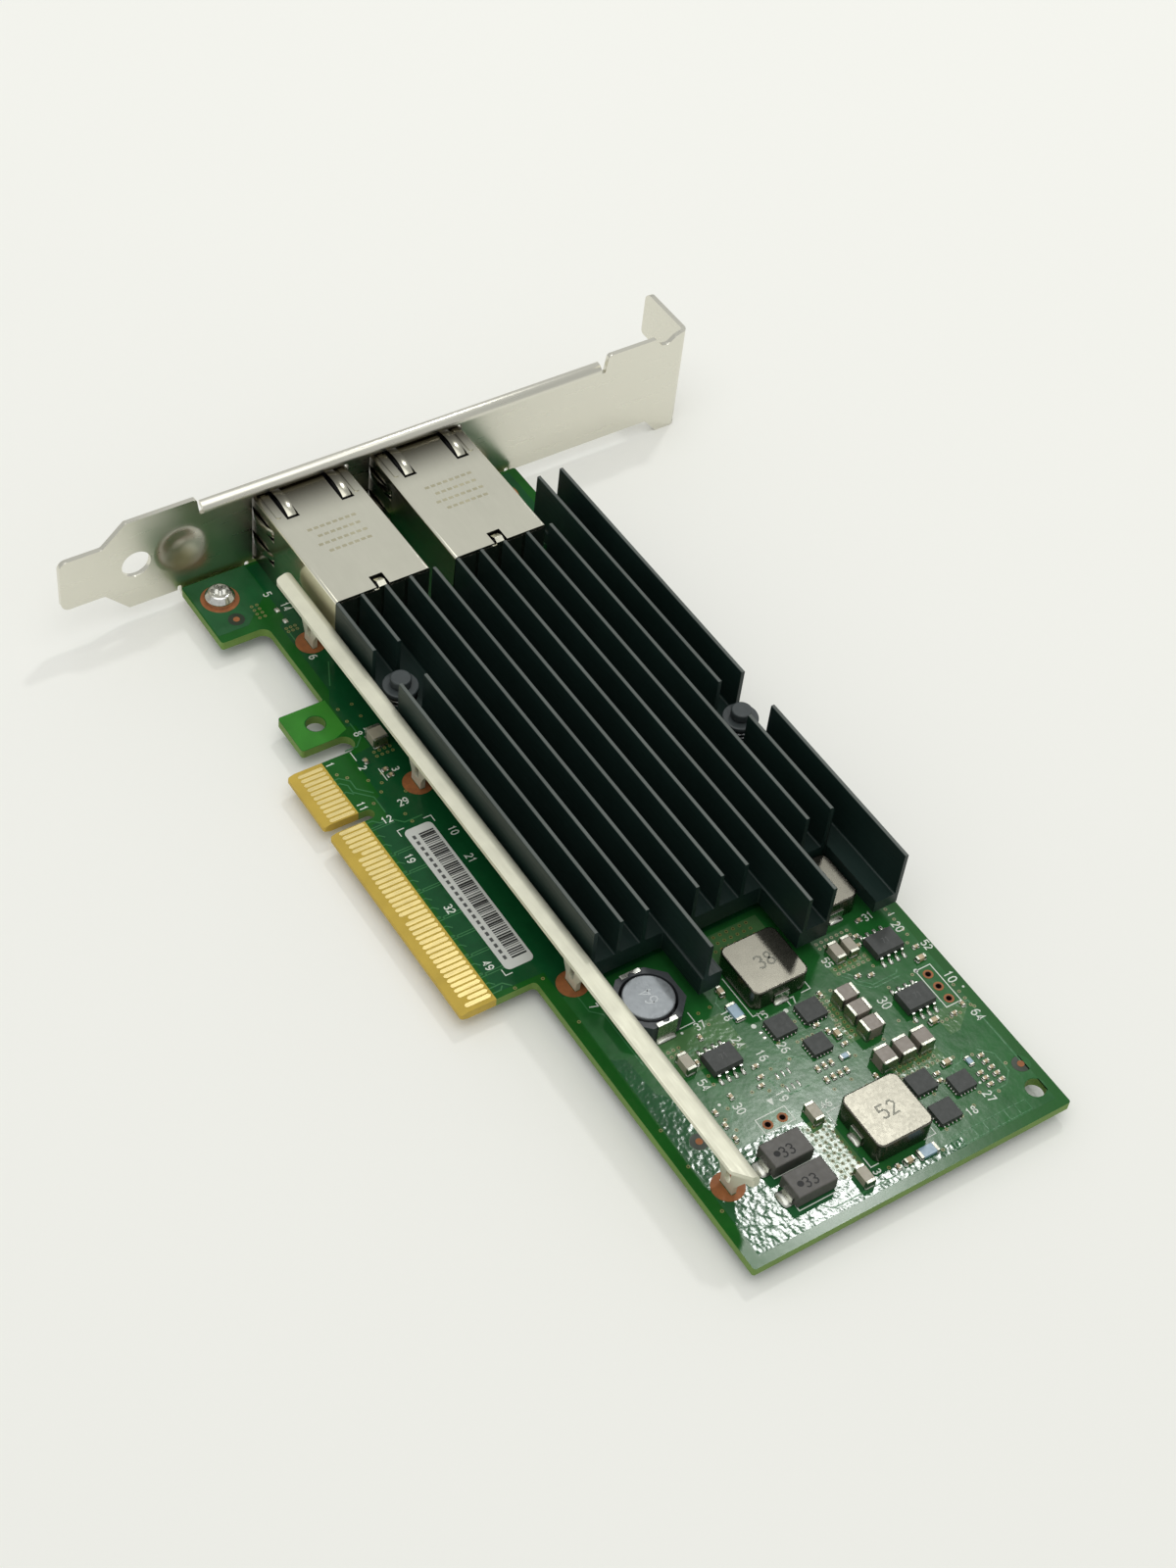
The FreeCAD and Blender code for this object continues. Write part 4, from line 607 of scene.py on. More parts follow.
# Epoxy mask, sprayed and cured, straight on the laminate: lighter green, since light comes back from
# the glass under it.
MASK_ON_LAMINATE = SolderMask(
    "mask_on_laminate", "#37802A", 0.2, mottle=0.1, dimple_depth_mm=0.004, swell_depth_mm=0.01
)
# The same mask over a solid copper plane: dark, and dimpled by the plane's openings.
MASK_ON_COPPER = SolderMask("mask_on_copper", "#124C28", 0.12, specular=0.22)
# Over the power section's plane, etched flatter: only faint dimples.
MASK_ON_POWER = SolderMask("mask_on_power", "#22602B", 0.16, dimple_depth_mm=0.006)
# Over the outer pour's hatched copper: the deepest dimples, which scatter a lamp into sparkles.
MASK_ON_BORDER = SolderMask(
    "mask_on_border", "#245A33", 0.11, specular=0.26, dimple_depth_mm=0.034, dimple_mm=1.05
)
# Over thick plated pours: paler and browner, because more copper shows through.
MASK_ON_PATCH = SolderMask("mask_on_patch", "#4C7446", 0.13, specular=0.22)
# Over single traces: a pale green line that stands a little proud.
MASK_ON_TRACE = SolderMask("mask_on_trace", "#3A7446", 0.2, mottle=0.06)
# Over a via's plated ring, thin on its rim: brassy green.
VIA_RING = SolderMask("via_ring", "#7D8148", 0.3, mottle=0.1, specular=0.5, dimple_depth_mm=0.002)
# Mouth of a via or bare laminate in a clearing, in shade: nearly black green.
VIA_MOUTH = Finish("via_mouth", "#14280F", 0.4)
# Hard gold plated over nickel and wiped by insertion: pale yellow satin.
HARD_GOLD = RolledSheet(
    "hard_gold", "#F5E09A", 0.3, 1.0, mottle=0.03, mottle_mm=1.5, line_depth_mm=0.0004,
    wave_mm=2.0, wave_depth_mm=0.001,
)
# Bare copper lands under a thin organic coat, oxidised: dull orange-brown.
BARE_COPPER = GrainedMetal(
    "dulled_copper", "#9A5E33", 0.55, 0.15, mottle=0.12, mottle_mm=1.5, grain_mm=0.3,
    grain_depth_mm=0.002,
)
# Plated copper wall of an empty hole, in shade: dark brown.
HOLE_BARREL = Finish("hole_barrel", "#34180C", 0.5)
# Epoxy legend ink, screened on: off-white and matt, a little thin in places.
LEGEND_INK = Finish("legend_ink", "#DCE2D8", 0.55, mottle=0.08, mottle_mm=0.6)
# Polyester label film, rolled flat: even pale grey with a low sheen.
LABEL_FILM = Finish("label_film", "#D2D4CF", 0.35, mottle=0.02, bump_mm=1.0, bump_depth_mm=0.001)
# Wax ribbon ink, heat-printed: dense black, and grey where it is printed thin.
LABEL_INK = Finish("label_ink", "#1B1C1C", 0.5)
LABEL_GREY_INK = Finish("label_grey_ink", "#4E504F", 0.5)
# Moulded epoxy of the chips, filled with glass powder: dark grey and matt. Its grain, and that of the
# mouldings below, is drawn several times as coarse as the filler, so that it shows.
CHIP_EPOXY = Finish(
    "chip_epoxy", "#3F4240", 0.52, mottle=0.08, mottle_mm=1.0, bump_mm=0.12, bump_depth_mm=0.003
)
# Moulded epoxy of the tantalum capacitors: browner and smoother.
TANTALUM_EPOXY = Finish(
    "tantalum_epoxy", "#585652", 0.46, mottle=0.06, mottle_mm=1.5, bump_mm=0.15, bump_depth_mm=0.003
)
# Laser-burnt epoxy: matt black.
LASER_MARK = Finish("laser_mark", "#1C1D1D", 0.6)
# Pad-printed white ink on the drum core: pale grey.
PALE_MARK = Finish("pale_mark", "#C9CED0", 0.5)
# Jet-printed ink on the ground inductors: thin, so the metal's gloss comes through its grey.
INK_MARK = Finish("ink_mark", "#85857B", 0.5, 0.7)
# Moulded nylon push pins: blue-grey with a soft sheen.
PIN_NYLON = Finish(
    "pin_nylon", "#3A4142", 0.48, mottle=0.08, mottle_mm=1.5, bump_mm=0.2, bump_depth_mm=0.003
)
# Moulded glass-filled nylon inside the jacks: black, faintly grained.
HOUSING_NYLON = Finish("housing_nylon", "#141414", 0.45, bump_mm=0.3, bump_depth_mm=0.003)
# Hard-drawn spring wire, plated: grey mirror.
SPRING_WIRE = Finish("spring_wire", "#8D8F90", 0.25, 1.0, mottle=0.1, mottle_mm=0.6)
# Pressed iron-powder block, ground on top: satin grey metal with fine even grains.
GROUND_POWDER = GrainedMetal(
    "ground_powder", "#6B6960", 0.27, 1.0, mottle=0.05, mottle_mm=2.5, grain_mm=0.4,
    grain_depth_mm=0.0007, grain_contrast=0.03, gloss_drift=0.06,
)
# Sintered ferrite of the drum's shell: charcoal, with a dull ceramic gloss.
FERRITE = Finish("ferrite", "#3A3E41", 0.4, mottle=0.1, mottle_mm=1.2, bump_mm=0.3, bump_depth_mm=0.004)
# Ferrite ground flat on the drum's core: blue-grey and brighter.
FERRITE_TOP = GrainedMetal(
    "ferrite_top", "#8B9093", 0.36, 0.5, mottle=0.06, mottle_mm=1.5, grain_mm=0.3, grain_depth_mm=0.002
)
# Laser-whitened epoxy of the chips' marks: mid grey, faint on the dark body.
PALE_EPOXY = Finish("pale_epoxy", "#5A5C5B", 0.6)
# Enamelled copper wire: glossy red-brown.
ENAMELLED_COPPER = Finish("enamelled_copper", "#7A3A1C", 0.3, 0.4)
# Fired ceramic of the large capacitors: grey-brown, smooth as a pebble.
CAPACITOR_BODY = Finish(
    "capacitor_body", "#857C72", 0.36, mottle=0.06, mottle_mm=1.0, bump_mm=0.2, bump_depth_mm=0.002
)
# The same in the smaller sizes: tan in the least of them, and paler and greyer in the middle size.
TAN_CAPACITOR = Finish("tan_capacitor", "#B8A582", 0.38, mottle=0.05, mottle_mm=0.8)
PALE_CAPACITOR = Finish("pale_capacitor", "#A39D8B", 0.36, mottle=0.05, mottle_mm=0.8)
# Glaze over the film of a chip resistor, fired on: pale glossy blue.
RESISTOR_TOP = Finish("resistor_top", "#8DA9BA", 0.3, mottle=0.06, mottle_mm=0.8)
# The controller's own laminate, masked green; its nickel-plated lid; and a grey silicone heat pad.
CARRIER = Finish("carrier", "#1C4A2C", 0.3)
LID_METAL = GrainedMetal("lid_metal", "#BFC0BC", 0.3, 1.0)
HEAT_PAD = Finish("heat_pad", "#9A9C9E", 0.7)


# ------------------------------------------------------------------------------- mesh shapes

Dressing = tuple[str, int, Finish, float]
TINY = 1e-9  # keeps a division by a length from failing
SHARPEST = 0.4  # least cosine of half a stroke's turn, which keeps a mitre short
WELD_MM = 0.0005  # joins the loose triangles of a CAD node
SHARP_EDGE = 35.0  # degrees


def circle(x: float, y: float, radius: float, sides: int = 24) -> np.ndarray:
    """Points round a place: x + r cos t and y + r sin t, with t in even steps.

    Args:
        x: Middle, across.
        y: Middle, along.
        radius: Radius r.
        sides: How many points.

    Returns:
        One row of x and y for each point.
    """
    turn = np.arange(sides) / sides * 2 * math.pi
    return np.column_stack([x + radius * np.cos(turn), y + radius * np.sin(turn)])


def wall(first: np.ndarray, second: np.ndarray) -> np.ndarray:
    """Four-sided faces between two rings of points.

    Args:
        first: Point numbers of one ring, in order.
        second: As many point numbers of the next ring.

    Returns:
        One row of four point numbers for each face.
    """
    return np.column_stack([first, np.roll(first, -1), np.roll(second, -1), second])


def rectangle(left: float, low: float, right: float, high: float) -> list[Point]:
    """Corners of a rectangle, in turn."""
    return [(left, low), (right, low), (right, high), (left, high)]


def raised(flat: np.ndarray, *heights: float) -> np.ndarray:
    """The same flat points at each height, one height after another."""
    return np.vstack([np.insert(flat, 2, height, axis=1) for height in heights])


@dataclass
class Mesh:
    """Points and faces gathered from many closed shapes; lengths are in millimetres."""

    points: list[np.ndarray] = field(default_factory=list)
    faces: list[list[int]] = field(default_factory=list)

    def add(self, points: np.ndarray, *blocks: np.ndarray) -> None:
        """Appends one shape.

        Args:
            points: One row of x, y and z for each point.
            blocks: Tables of faces, with a row of point numbers for each face.
        """
        start = sum(len(shape) for shape in self.points)
        self.points.append(points)
        for block in blocks:
            self.faces.extend((block + start).tolist())

    def prism(
        self, outline: Sequence[Point], low: float, high: float, holes: Sequence[Sequence[Point]] = ()
    ) -> None:
        """Adds a flat plate: the outline, less its holes, from one height to the other.

        Args:
            outline: Its corners.
            low: Height of its underside.
            high: Height of its top.
            holes: Corners of each opening.
        """
        loops = [np.asarray(loop, float) for loop in (outline, *holes)]
        flat = np.vstack(loops)
        count = len(flat)
        caps = np.array(tessellate_polygon([loop.tolist() for loop in loops]), int)
        a, b, c = flat[caps.T]
        one, two = (b - a).T, (c - a).T
        clockwise = one[0] * two[1] < one[1] * two[0]
        caps[clockwise] = caps[clockwise, ::-1]
        sides, start = [], 0
        for number, loop in enumerate(loops):
            ring = np.arange(start, start + len(loop))
            x, y = loop.T
            signed = np.sum(x * np.roll(y, -1) - np.roll(x, -1) * y)
            outward = (signed > 0) == (number == 0)
            faces = wall(ring, ring + count)
            sides.append(faces if outward else faces[:, ::-1])
            start += len(loop)
        self.add(raised(flat, low, high), caps[:, ::-1], caps + count, *sides)

    def stroke(self, path: Sequence[Point], width: float, low: float, high: float) -> None:
        """Adds a strip along a path of straight runs, mitred at each turn.

        Each side stands off by half the width over the cosine of half the turn, along the mitre.

        Args:
            path: Corners of its middle line; it closes where the last is the first.
            width: Its width.
            low: Height of its underside.
            high: Height of its top.
        """
        line = np.asarray(path, float)
        closed = len(line) > 2 and np.allclose(line[0], line[-1])
        if closed:
            line = line[:-1]
        ahead = np.roll(line, -1, axis=0) - line
        behind = line - np.roll(line, 1, axis=0)
        if not closed:
            ahead[-1], behind[0] = behind[-1], ahead[0]
        ahead /= np.linalg.norm(ahead, axis=1, keepdims=True)
        behind /= np.linalg.norm(behind, axis=1, keepdims=True)
        mitre = ahead + behind
        mitre /= np.maximum(np.linalg.norm(mitre, axis=1, keepdims=True), TINY)
        reach = width / 2 / np.maximum(np.sum(mitre * ahead, axis=1), SHARPEST)
        side = np.stack([-mitre[:, 1], mitre[:, 0]], axis=1) * reach[:, None]
        n = len(line)
        up = 2 * n
        flat = np.vstack([line + side, line - side])
        a = np.arange(n if closed else n - 1)
        b = (a + 1) % n
        c, d = n + b, n + a
        runs = [(a, b, c, d), (b, a, a + up, b + up), (d, c, c + up, d + up)]
        runs.append((d + up, c + up, b + up, a + up))
        ends = [] if closed else [np.array([(0, n, n + up, up), (up - 1, n - 1, n - 1 + up, 2 * up - 1)])]
        self.add(raised(flat, low, high), *(np.column_stack(run) for run in runs), *ends)

    def discs(
        self, centres: Sequence[Point], radius: float, low: float, high: float, sides: int = 12
    ) -> None:
        """Adds short round posts, one at each centre."""
        for x, y in centres:
            self.prism(circle(x, y, radius, sides), low, high)

    def rings(
        self, centres: Sequence[Point], outer: float, inner: float, low: float, high: float,
        sides: int = 16,
    ) -> None:
        """Adds flat washers, each a four-cornered section turned about its centre.

        Args:
            centres: Middle of each.
            outer: Outer radius.
            inner: Radius of its hole.
            low: Height of its underside.
            high: Height of its top.
            sides: Points round it.
        """
        section = ((inner, low), (outer, low), (outer, high), (inner, high))
        corners = np.arange(4 * sides).reshape(4, sides)
        walls = [wall(one, two) for one, two in zip(corners, np.roll(corners, -1, axis=0))]
        for x, y in centres:
            points = [raised(circle(x, y, radius, sides), z) for radius, z in section]
            self.add(np.vstack(points), *walls)

    def domes(
        self, places: Sequence[Mound], base: float, power: float = 0.55, around: int = 12, rows: int = 4
    ) -> None:
        """Adds mounds of solder.

        A mound is x = a c(u) cos v, y = b s(u) cos v, z = h sin v, where c and s are cosine and sine
        raised to a power that squares the outline, u goes round and v goes up.

        Args:
            places: Centre x and y, half length a, half width b and height h of each mound.
            base: Height that they stand on, or hang from where h is below nought.
            power: Below one for a squarer outline.
            around: Points round the outline.
            rows: Rows from the foot to the crown.
        """
        u = np.arange(around) / around * 2 * math.pi
        v = np.linspace(0, math.pi / 2, rows, endpoint=False)
        c, s = (np.sign(wave) * np.abs(wave) ** power for wave in (np.cos(u), np.sin(u)))
        ring = np.arange(rows * around).reshape(rows, around)
        crown = np.full(around, rows * around)
        blocks = [ring[:1, ::-1], *(wall(one, two) for one, two in zip(ring[:-1], ring[1:]))]
        blocks.append(np.column_stack([ring[-1], np.roll(ring[-1], -1), crown]))
        for x, y, a, b, h in places:
            grid = [x + a * np.outer(np.cos(v), c), y + b * np.outer(np.cos(v), s)]
            grid.append(base + h * np.outer(np.sin(v), np.ones(around)))
            points = np.vstack([np.stack(grid, axis=-1).reshape(-1, 3), (x, y, base + h)])
            self.add(points, *(block if h > 0 else block[:, ::-1] for block in blocks))

    def build(self, name: str, finish: Finish, slot: Slot, smooth: bool = False) -> bpy.types.Object:
        """Makes the piece, gives it its finish and lets it ride with the card.

        Args:
            name: Name of the piece.
            finish: Its surface.
            slot: The record's slot; not used.
            smooth: Whether its faces are shaded smooth.

        Returns:
            The new object.
        """
        mesh = bpy.data.meshes.new(name)
        mesh.from_pydata((np.vstack(self.points) * MM).tolist(), [], self.faces)
        mesh.update()
        mesh.polygons.foreach_set("use_smooth", np.full(len(mesh.polygons), smooth))
        mesh.materials.append(finish.build())
        piece = bpy.data.objects.new(name, mesh)
        bpy.context.scene.collection.objects.link(piece)
        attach(piece, "root")
        LOG.info("%s: %d faces", name, len(mesh.polygons))
        return piece


def dress_nodes(rows: Sequence[Dressing]) -> None:
    """Gives CAD nodes their finishes and, where asked, worn-soft edges.

    Args:
        rows: Name with a place for its number, how many there are, finish and width of rounding.
    """
    for pattern, count, finish, bevel_mm in rows:
        for name in (pattern.format(number) for number in range(1, count + 1)):
            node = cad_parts[name]
            node.data.materials.clear()
            node.data.materials.append(finish.build())
            if bevel_mm:
                weld = node.modifiers.new("weld", "WELD")
                weld.merge_threshold = WELD_MM * MM
                bevel = node.modifiers.new("edges", "BEVEL")
                bevel.width = bevel_mm * MM
                bevel.segments = 2
                bevel.limit_method = "ANGLE"
                bevel.angle_limit = math.radians(SHARP_EDGE)
            LOG.info("%s: %s", name, finish.name)


def extent(name: str) -> Box:
    """Lowest and highest corner of a CAD node, in millimetres."""
    low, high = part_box(name)
    return np.array(low) / MM, np.array(high) / MM


def vertices(name: str) -> np.ndarray:
    """Points of a CAD node.

    Args:
        name: Node of the frame.

    Returns:
        One row of x, y and z for each, in millimetres.
    """
    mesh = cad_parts[name].data
    points = np.empty(len(mesh.vertices) * 3)
    mesh.vertices.foreach_get("co", points)
    return points.reshape(-1, 3) / MM


def boxes(points: np.ndarray, group: np.ndarray) -> list[Box]:
    """Box of each group of points.

    Args:
        points: One row of x, y and z for each.
        group: The group that each is in.

    Returns:
        Lowest and highest corner of each group.
    """
    members = [points[group == number] for number in np.unique(group)]
    return [(some.min(axis=0), some.max(axis=0)) for some in members]


def islands(name: str) -> list[Box]:
    """Box of each separate solid of a CAD node.

    Points at one place get one label, and each label takes the least number that any edge leads to,
    until nothing changes.

    Args:
        name: Node of the frame.

    Returns:
        Lowest and highest corner of each solid, in millimetres.
    """
    points = vertices(name)
    _, label = np.unique(np.round(points, 3), axis=0, return_inverse=True)
    label = label.reshape(-1)
    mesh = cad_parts[name].data
    edges = np.empty(len(mesh.edges) * 2, int)
    mesh.edges.foreach_get("vertices", edges)
    first, second = label[edges.reshape(-1, 2)].T
    owner = np.arange(label.max() + 1)
    changed = True
    while changed:
        least = np.minimum(owner[first], owner[second])
        before = owner.copy()
        np.minimum.at(owner, first, least)
        np.minimum.at(owner, second, least)
        owner = owner[owner]
        changed = bool(np.any(owner != before))
    return boxes(points, owner[label])


# ------------------------------------------------------------------------------- lettering

# Strokes of each digit, in quarters of its height.
DIGITS: dict[str, list[Point]] = {
    "0": [(0, 1), (0, 3), (0.6, 4), (1.4, 4), (2, 3), (2, 1), (1.4, 0), (0.6, 0), (0, 1)],
    "1": [(0.3, 3.2), (1, 4), (1, 0)],
    "2": [(0, 3.2), (0.6, 4), (1.4, 4), (2, 3.2), (2, 2.6), (0, 0), (2, 0)],
    "3": [(0, 3.5), (0.6, 4), (1.4, 4), (2, 3.3), (1.9, 2.5), (1.1, 2.1), (2, 1.5), (2, 0.7),
          (1.4, 0), (0.6, 0), (0, 0.5)],
    "4": [(1.5, 0), (1.5, 4), (0, 1.2), (2, 1.2)],
    "5": [(2, 4), (0.1, 4), (0, 2.3), (1.3, 2.5), (2, 1.8), (2, 0.7), (1.4, 0), (0.5, 0), (0, 0.5)],
    "6": [(1.8, 3.7), (1.2, 4), (0.4, 3.4), (0, 2.2), (0, 0.8), (0.6, 0), (1.4, 0), (2, 0.7),
          (2, 1.6), (1.4, 2.3), (0.5, 2.1), (0, 1.5)],
    "7": [(0, 4), (2, 4), (0.7, 0)],
    "8": [(1, 2.1), (0.2, 2.8), (0.2, 3.5), (0.7, 4), (1.3, 4), (1.8, 3.5), (1.8, 2.8), (1, 2.1),
          (0, 1.4), (0, 0.6), (0.6, 0), (1.4, 0), (2, 0.6), (2, 1.4), (1, 2.1)],
    "9": [(0.2, 0.3), (0.8, 0), (1.6, 0.6), (2, 1.8), (2, 3.2), (1.4, 4), (0.6, 4), (0, 3.3),
          (0, 2.4), (0.6, 1.7), (1.5, 1.9), (2, 2.5)],
}


@dataclass(frozen=True)
class Number:
    """A plain number in legend strokes: its lower left corner, height, turn and stroke width."""

    text: str
    x: float
    y: float
    height: float = 1.3
    turn: float = 0.0
    weight: float = 0.2
    advance: float = 3.1

    def draw(self, mesh: Mesh, low: float, high: float) -> None:
        """Adds the stroke of each digit, turned about the lower left corner.

        Args:
            mesh: Where the strokes go.
            low: Height of their underside.
            high: Height of their top.
        """
        step = self.height / 4
        angle = math.radians(self.turn)
        along = np.array([math.cos(angle), math.sin(angle)])
        spin = np.array([along, (-along[1], along[0])])
        for place, digit in enumerate(self.text):
            line = np.array(DIGITS[digit]) * step + (place * step * self.advance, 0.0)
            mesh.stroke(line @ spin + (self.x, self.y), self.weight, low, high)


# ------------------------------------------------------------------------------- circuit board


@dataclass
class Board:
    """Circuit board: masked laminate with copper planes, traces, vias and legend.

    The layers are drawn apart in height, so that each shows over the ones below it.
    """

    # Strips left free of copper, and where the power section starts.
    edge_strip: float = 1.6
    left_strip: float = 0.6
    lower: float = 12.7
    lower_strip: float = 1.9
    power_start: float = 44.0
    # Tops of the layers over the board.
    tab_mask: float = 0.0084
    clearing: float = 0.0096
    plane: float = 0.012
    border: float = 0.0162
    pour: float = 0.02
    trace: float = 0.028
    mouth: float = 0.028
    barrel: float = 0.032
    via: float = 0.036
    ink: float = 0.04
    # Widths of strokes, radii of holes (outer, then inner), and places.
    trace_width: float = 0.22
    ink_width: float = 0.16
    via_ring: Point = (0.3, 0.13)
    via_mouth: float = 0.14
    header_land: Point = (0.82, 0.5)
    header_barrel: Point = (0.505, 0.42)
    header_opening: float = 0.52
    header_pitch: float = 2.54
    barrel_depth: float = 1.5
    pair_inset: Point = (18.45, 28.05)
    row_inset: Point = (28.6, 4.15)
    mark_radius: float = 0.55
    mark_clearing: float = 1.4
    marks: tuple[Point, ...] = ((-46.5, 9.1), (74.6, 17.9), (86.6, 66.7))

    def __post_init__(self) -> None:
        """Reads the outline of the board, and places its header holes by it."""
        low, high = extent("circuit_board")
        self.left, self.free_end, self.top, self.back = low[0], high[0], high[1], low[2]
        self.foot = self.lower + self.lower_strip
        self.inner, self.upper = self.free_end - self.edge_strip, self.top - self.edge_strip
        self.pair = (self.free_end - self.pair_inset[0], self.pair_inset[1])
        self.row = (self.free_end - self.row_inset[0], self.top - self.row_inset[1])

    def build(self) -> None:
        """Dresses the board and lays its copper and ink."""
        dress_nodes([("circuit_board", 1, MASKED_BOARD, 0.0), ("ground_pads", 1, BARE_COPPER, 0.0)])
        self.planes()
        self.pours()
        self.traces()
        self.vias("", self.via_places(), (0.0, self.via), (0.0, self.mouth))
        self.lands()
        self.legend()

    def planes(self) -> None:
        """Copper planes under the mask, set back from the board's edges, and the mask between them."""
        start, foot, inner, upper = self.power_start, self.foot, self.inner, self.upper
        left = self.left + self.left_strip
        main = [
            (left, foot + 1.6), (-43.6, foot + 1.6), (-41.8, foot), (-25.6, foot), (-23.0, 13.2),
            (-17.4, 13.2), (-17.0, foot), (-12.0, foot - 0.2), (-11.6, 10.9), (-2.4, 10.6),
            (-2.0, 9.6), (1.9, 9.6), (2.2, 6.6), (38.6, 6.6), (38.8, foot), (start, foot),
            (start, upper), (left, upper),
        ]
        power = rectangle(start, foot, inner, upper)
        tab = [
            (-24.05, 5.0), (-23.9, 4.72), (-23.6, 4.56), (-16.5, 4.56), (-16.2, 4.72),
            (-16.06, 5.0), (-16.06, 10.4), (-17.0, 12.9), (-24.05, 12.9),
        ]
        patch = [
            (-57.0, 5.0), (-56.7, 4.7), (-44.4, 4.7), (-44.4, 10.2), (-47.4, 13.6), (-49.8, 16.1),
            (-57.0, 16.1),
        ]
        border = [
            (inner, foot), (inner, 51.0), (92.4, 51.0), (92.4, 46.2), (91.2, 44.8), (91.2, 37.4),
            (86.8, 36.4), (80.4, 36.4), (79.0, 34.8), (79.0, 31.2), (78.2, 30.4), (78.2, 25.6),
            (78.4, 24.2), (78.4, 21.6), (74.4, 20.8), (71.6, 19.0), (66.4, 18.4), (64.8, 17.0),
            (57.8, 16.6), (56.8, foot),
        ]
        left_mark, lower_mark, upper_mark = self.marks
        power_holes = [(91.0, 65.9, 1.75), (*lower_mark, 1.5), (*upper_mark, 1.5)]
        power_holes += [(x, y, self.header_opening) for x, y in self.header_places()]
        for name, finish, outline, top, holes in (
            ("mask_off_the_plane", MASK_ON_LAMINATE, tab, self.tab_mask, [(-20.3, 9.2, 1.75)]),
            ("mask_plane", MASK_ON_COPPER, main, self.plane, []),
            ("mask_power_plane", MASK_ON_POWER, power, self.plane, power_holes),
            ("mask_foot_patch", MASK_ON_BORDER, patch, self.pour, [(-51.9, 8.9, 3.0), (*left_mark, 1.4)]),
            ("mask_border", MASK_ON_BORDER, border, self.border, [(*lower_mark, 1.5)]),
        ):
            mesh = Mesh()
            mesh.prism(outline, 0.0, top, [circle(*hole) for hole in holes])
            mesh.build(name, finish, Slot.BOARD)

    def pours(self) -> None:
        """Separate pours of the power section, a little paler than the main plane."""
        mesh = Mesh()
        for sides in (
            (45.0, 37.0, 50.0, 48.4), (61.6, 46.9, 71.4, 49.2), (77.6, 49.2, 80.6, 57.6),
            (79.6, 31.6, 89.6, 36.2), (58.8, 52.2, 60.6, 59.0), (57.6, 21.6, 64.6, 33.4),
        ):
            mesh.prism(rectangle(*sides), 0.0, self.pour)
        bevelled = [(72.9, 60.9), (77.4, 60.9), (77.4, 62.6), (74.2, 66.6), (72.9, 66.6)]
        mesh.prism(bevelled, 0.0, self.pour)
        mesh.build("mask_pours", MASK_ON_PATCH, Slot.BOARD)

    def traces(self) -> None:
        """Narrow copper runs under the mask, which turn by 45 degrees as such runs do."""
        runs = [
            [(-8.5, 5.9), (-8.5, 6.8), (-7.2, 8.1), (-5.4, 8.1), (-3.4, 10.1)],
            [(-7.5, 5.9), (-7.5, 6.4), (-6.6, 7.3), (-5.0, 7.3), (-2.6, 9.7), (0.9, 9.7)],
            [(-5.5, 5.9), (-5.5, 6.4), (-4.6, 7.3)],
            [(1.5, 6.0), (1.5, 7.0), (2.4, 7.9), (2.4, 9.7), (4.0, 11.3), (4.0, 14.4)],
            [(37.5, 6.0), (37.5, 8.2), (38.6, 9.3)],
            [(38.5, 6.0), (38.5, 7.4), (37.9, 8.0)],
            [(60.3, 53.4), (61.4, 54.5), (62.6, 54.5), (64.4, 56.3), (64.4, 60.6), (63.8, 61.2)],
            [(60.9, 53.0), (61.9, 54.0), (63.0, 54.0), (65.0, 56.0), (65.0, 60.9)],
            [(71.2, 62.6), (73.6, 65.0), (73.6, 67.0), (87.0, 67.0)],
            [(81.4, 62.6), (83.2, 64.4), (86.6, 64.4), (88.4, 62.6), (88.4, 58.6)],
            [(80.7, 60.4), (82.0, 59.1), (82.0, 57.8), (83.2, 56.6)],
            [(69.0, 31.4), (70.4, 32.8), (73.2, 32.8), (74.4, 34.0), (74.4, 37.4)],
            [(67.4, 33.9), (68.8, 35.3), (69.0, 37.9), (70.6, 39.5), (70.6, 43.8)],
            [(66.2, 41.2), (67.4, 42.4), (67.4, 44.2)],
            [(58.2, 33.7), (55.8, 33.7), (54.0, 35.5)],
            [(44.0, 16.6), (48.0, 16.6), (49.6, 18.2), (60.0, 18.2)],
            [(62.3, 21.4), (62.3, 24.4), (61.2, 25.5), (61.2, 27.0)],
            [(70.8, 25.2), (72.6, 25.2), (74.0, 23.8), (74.0, 21.6)],
            [(92.9, 38.4), (92.9, 28.0), (91.6, 26.7)],
            [(-41.0, 15.2), (-37.6, 15.2)],
            [(-31.2, 17.6), (-26.4, 15.2)],
            [(-17.8, 14.0), (-14.4, 14.0), (-13.0, 12.6), (-13.0, 10.4)],
        ]
        strokes = [(run, self.trace_width) for run in runs]
        for x in (3.0, 8.8, 13.0, 17.0, 23.0, 27.0, 31.0, 35.0):  # signal pairs off the contacts
            strokes += [([(at, 6.0), (at, 10.0)], 0.16) for at in (x - 0.22, x + 0.22)]
        strokes += [([(x, 6.0), (x, 6.5), (x + 0.7, 7.2)], 0.18) for x in np.arange(4.5, 38.0, 2.0)]
        left, right, low, high = 91.8, 93.6, 49.4, 63.2  # a ladder along the free end
        strokes += [([(x, low), (x, high)], 0.14) for x in (left, right)]
        strokes += [([(left, y), (right, y)], 0.14) for y in np.linspace(low, high, 8)]
        mesh = Mesh()
        for run, width in strokes:
            mesh.stroke(run, width, 0.0, self.trace)
        mesh.build("mask_traces", MASK_ON_TRACE, Slot.BOARD)

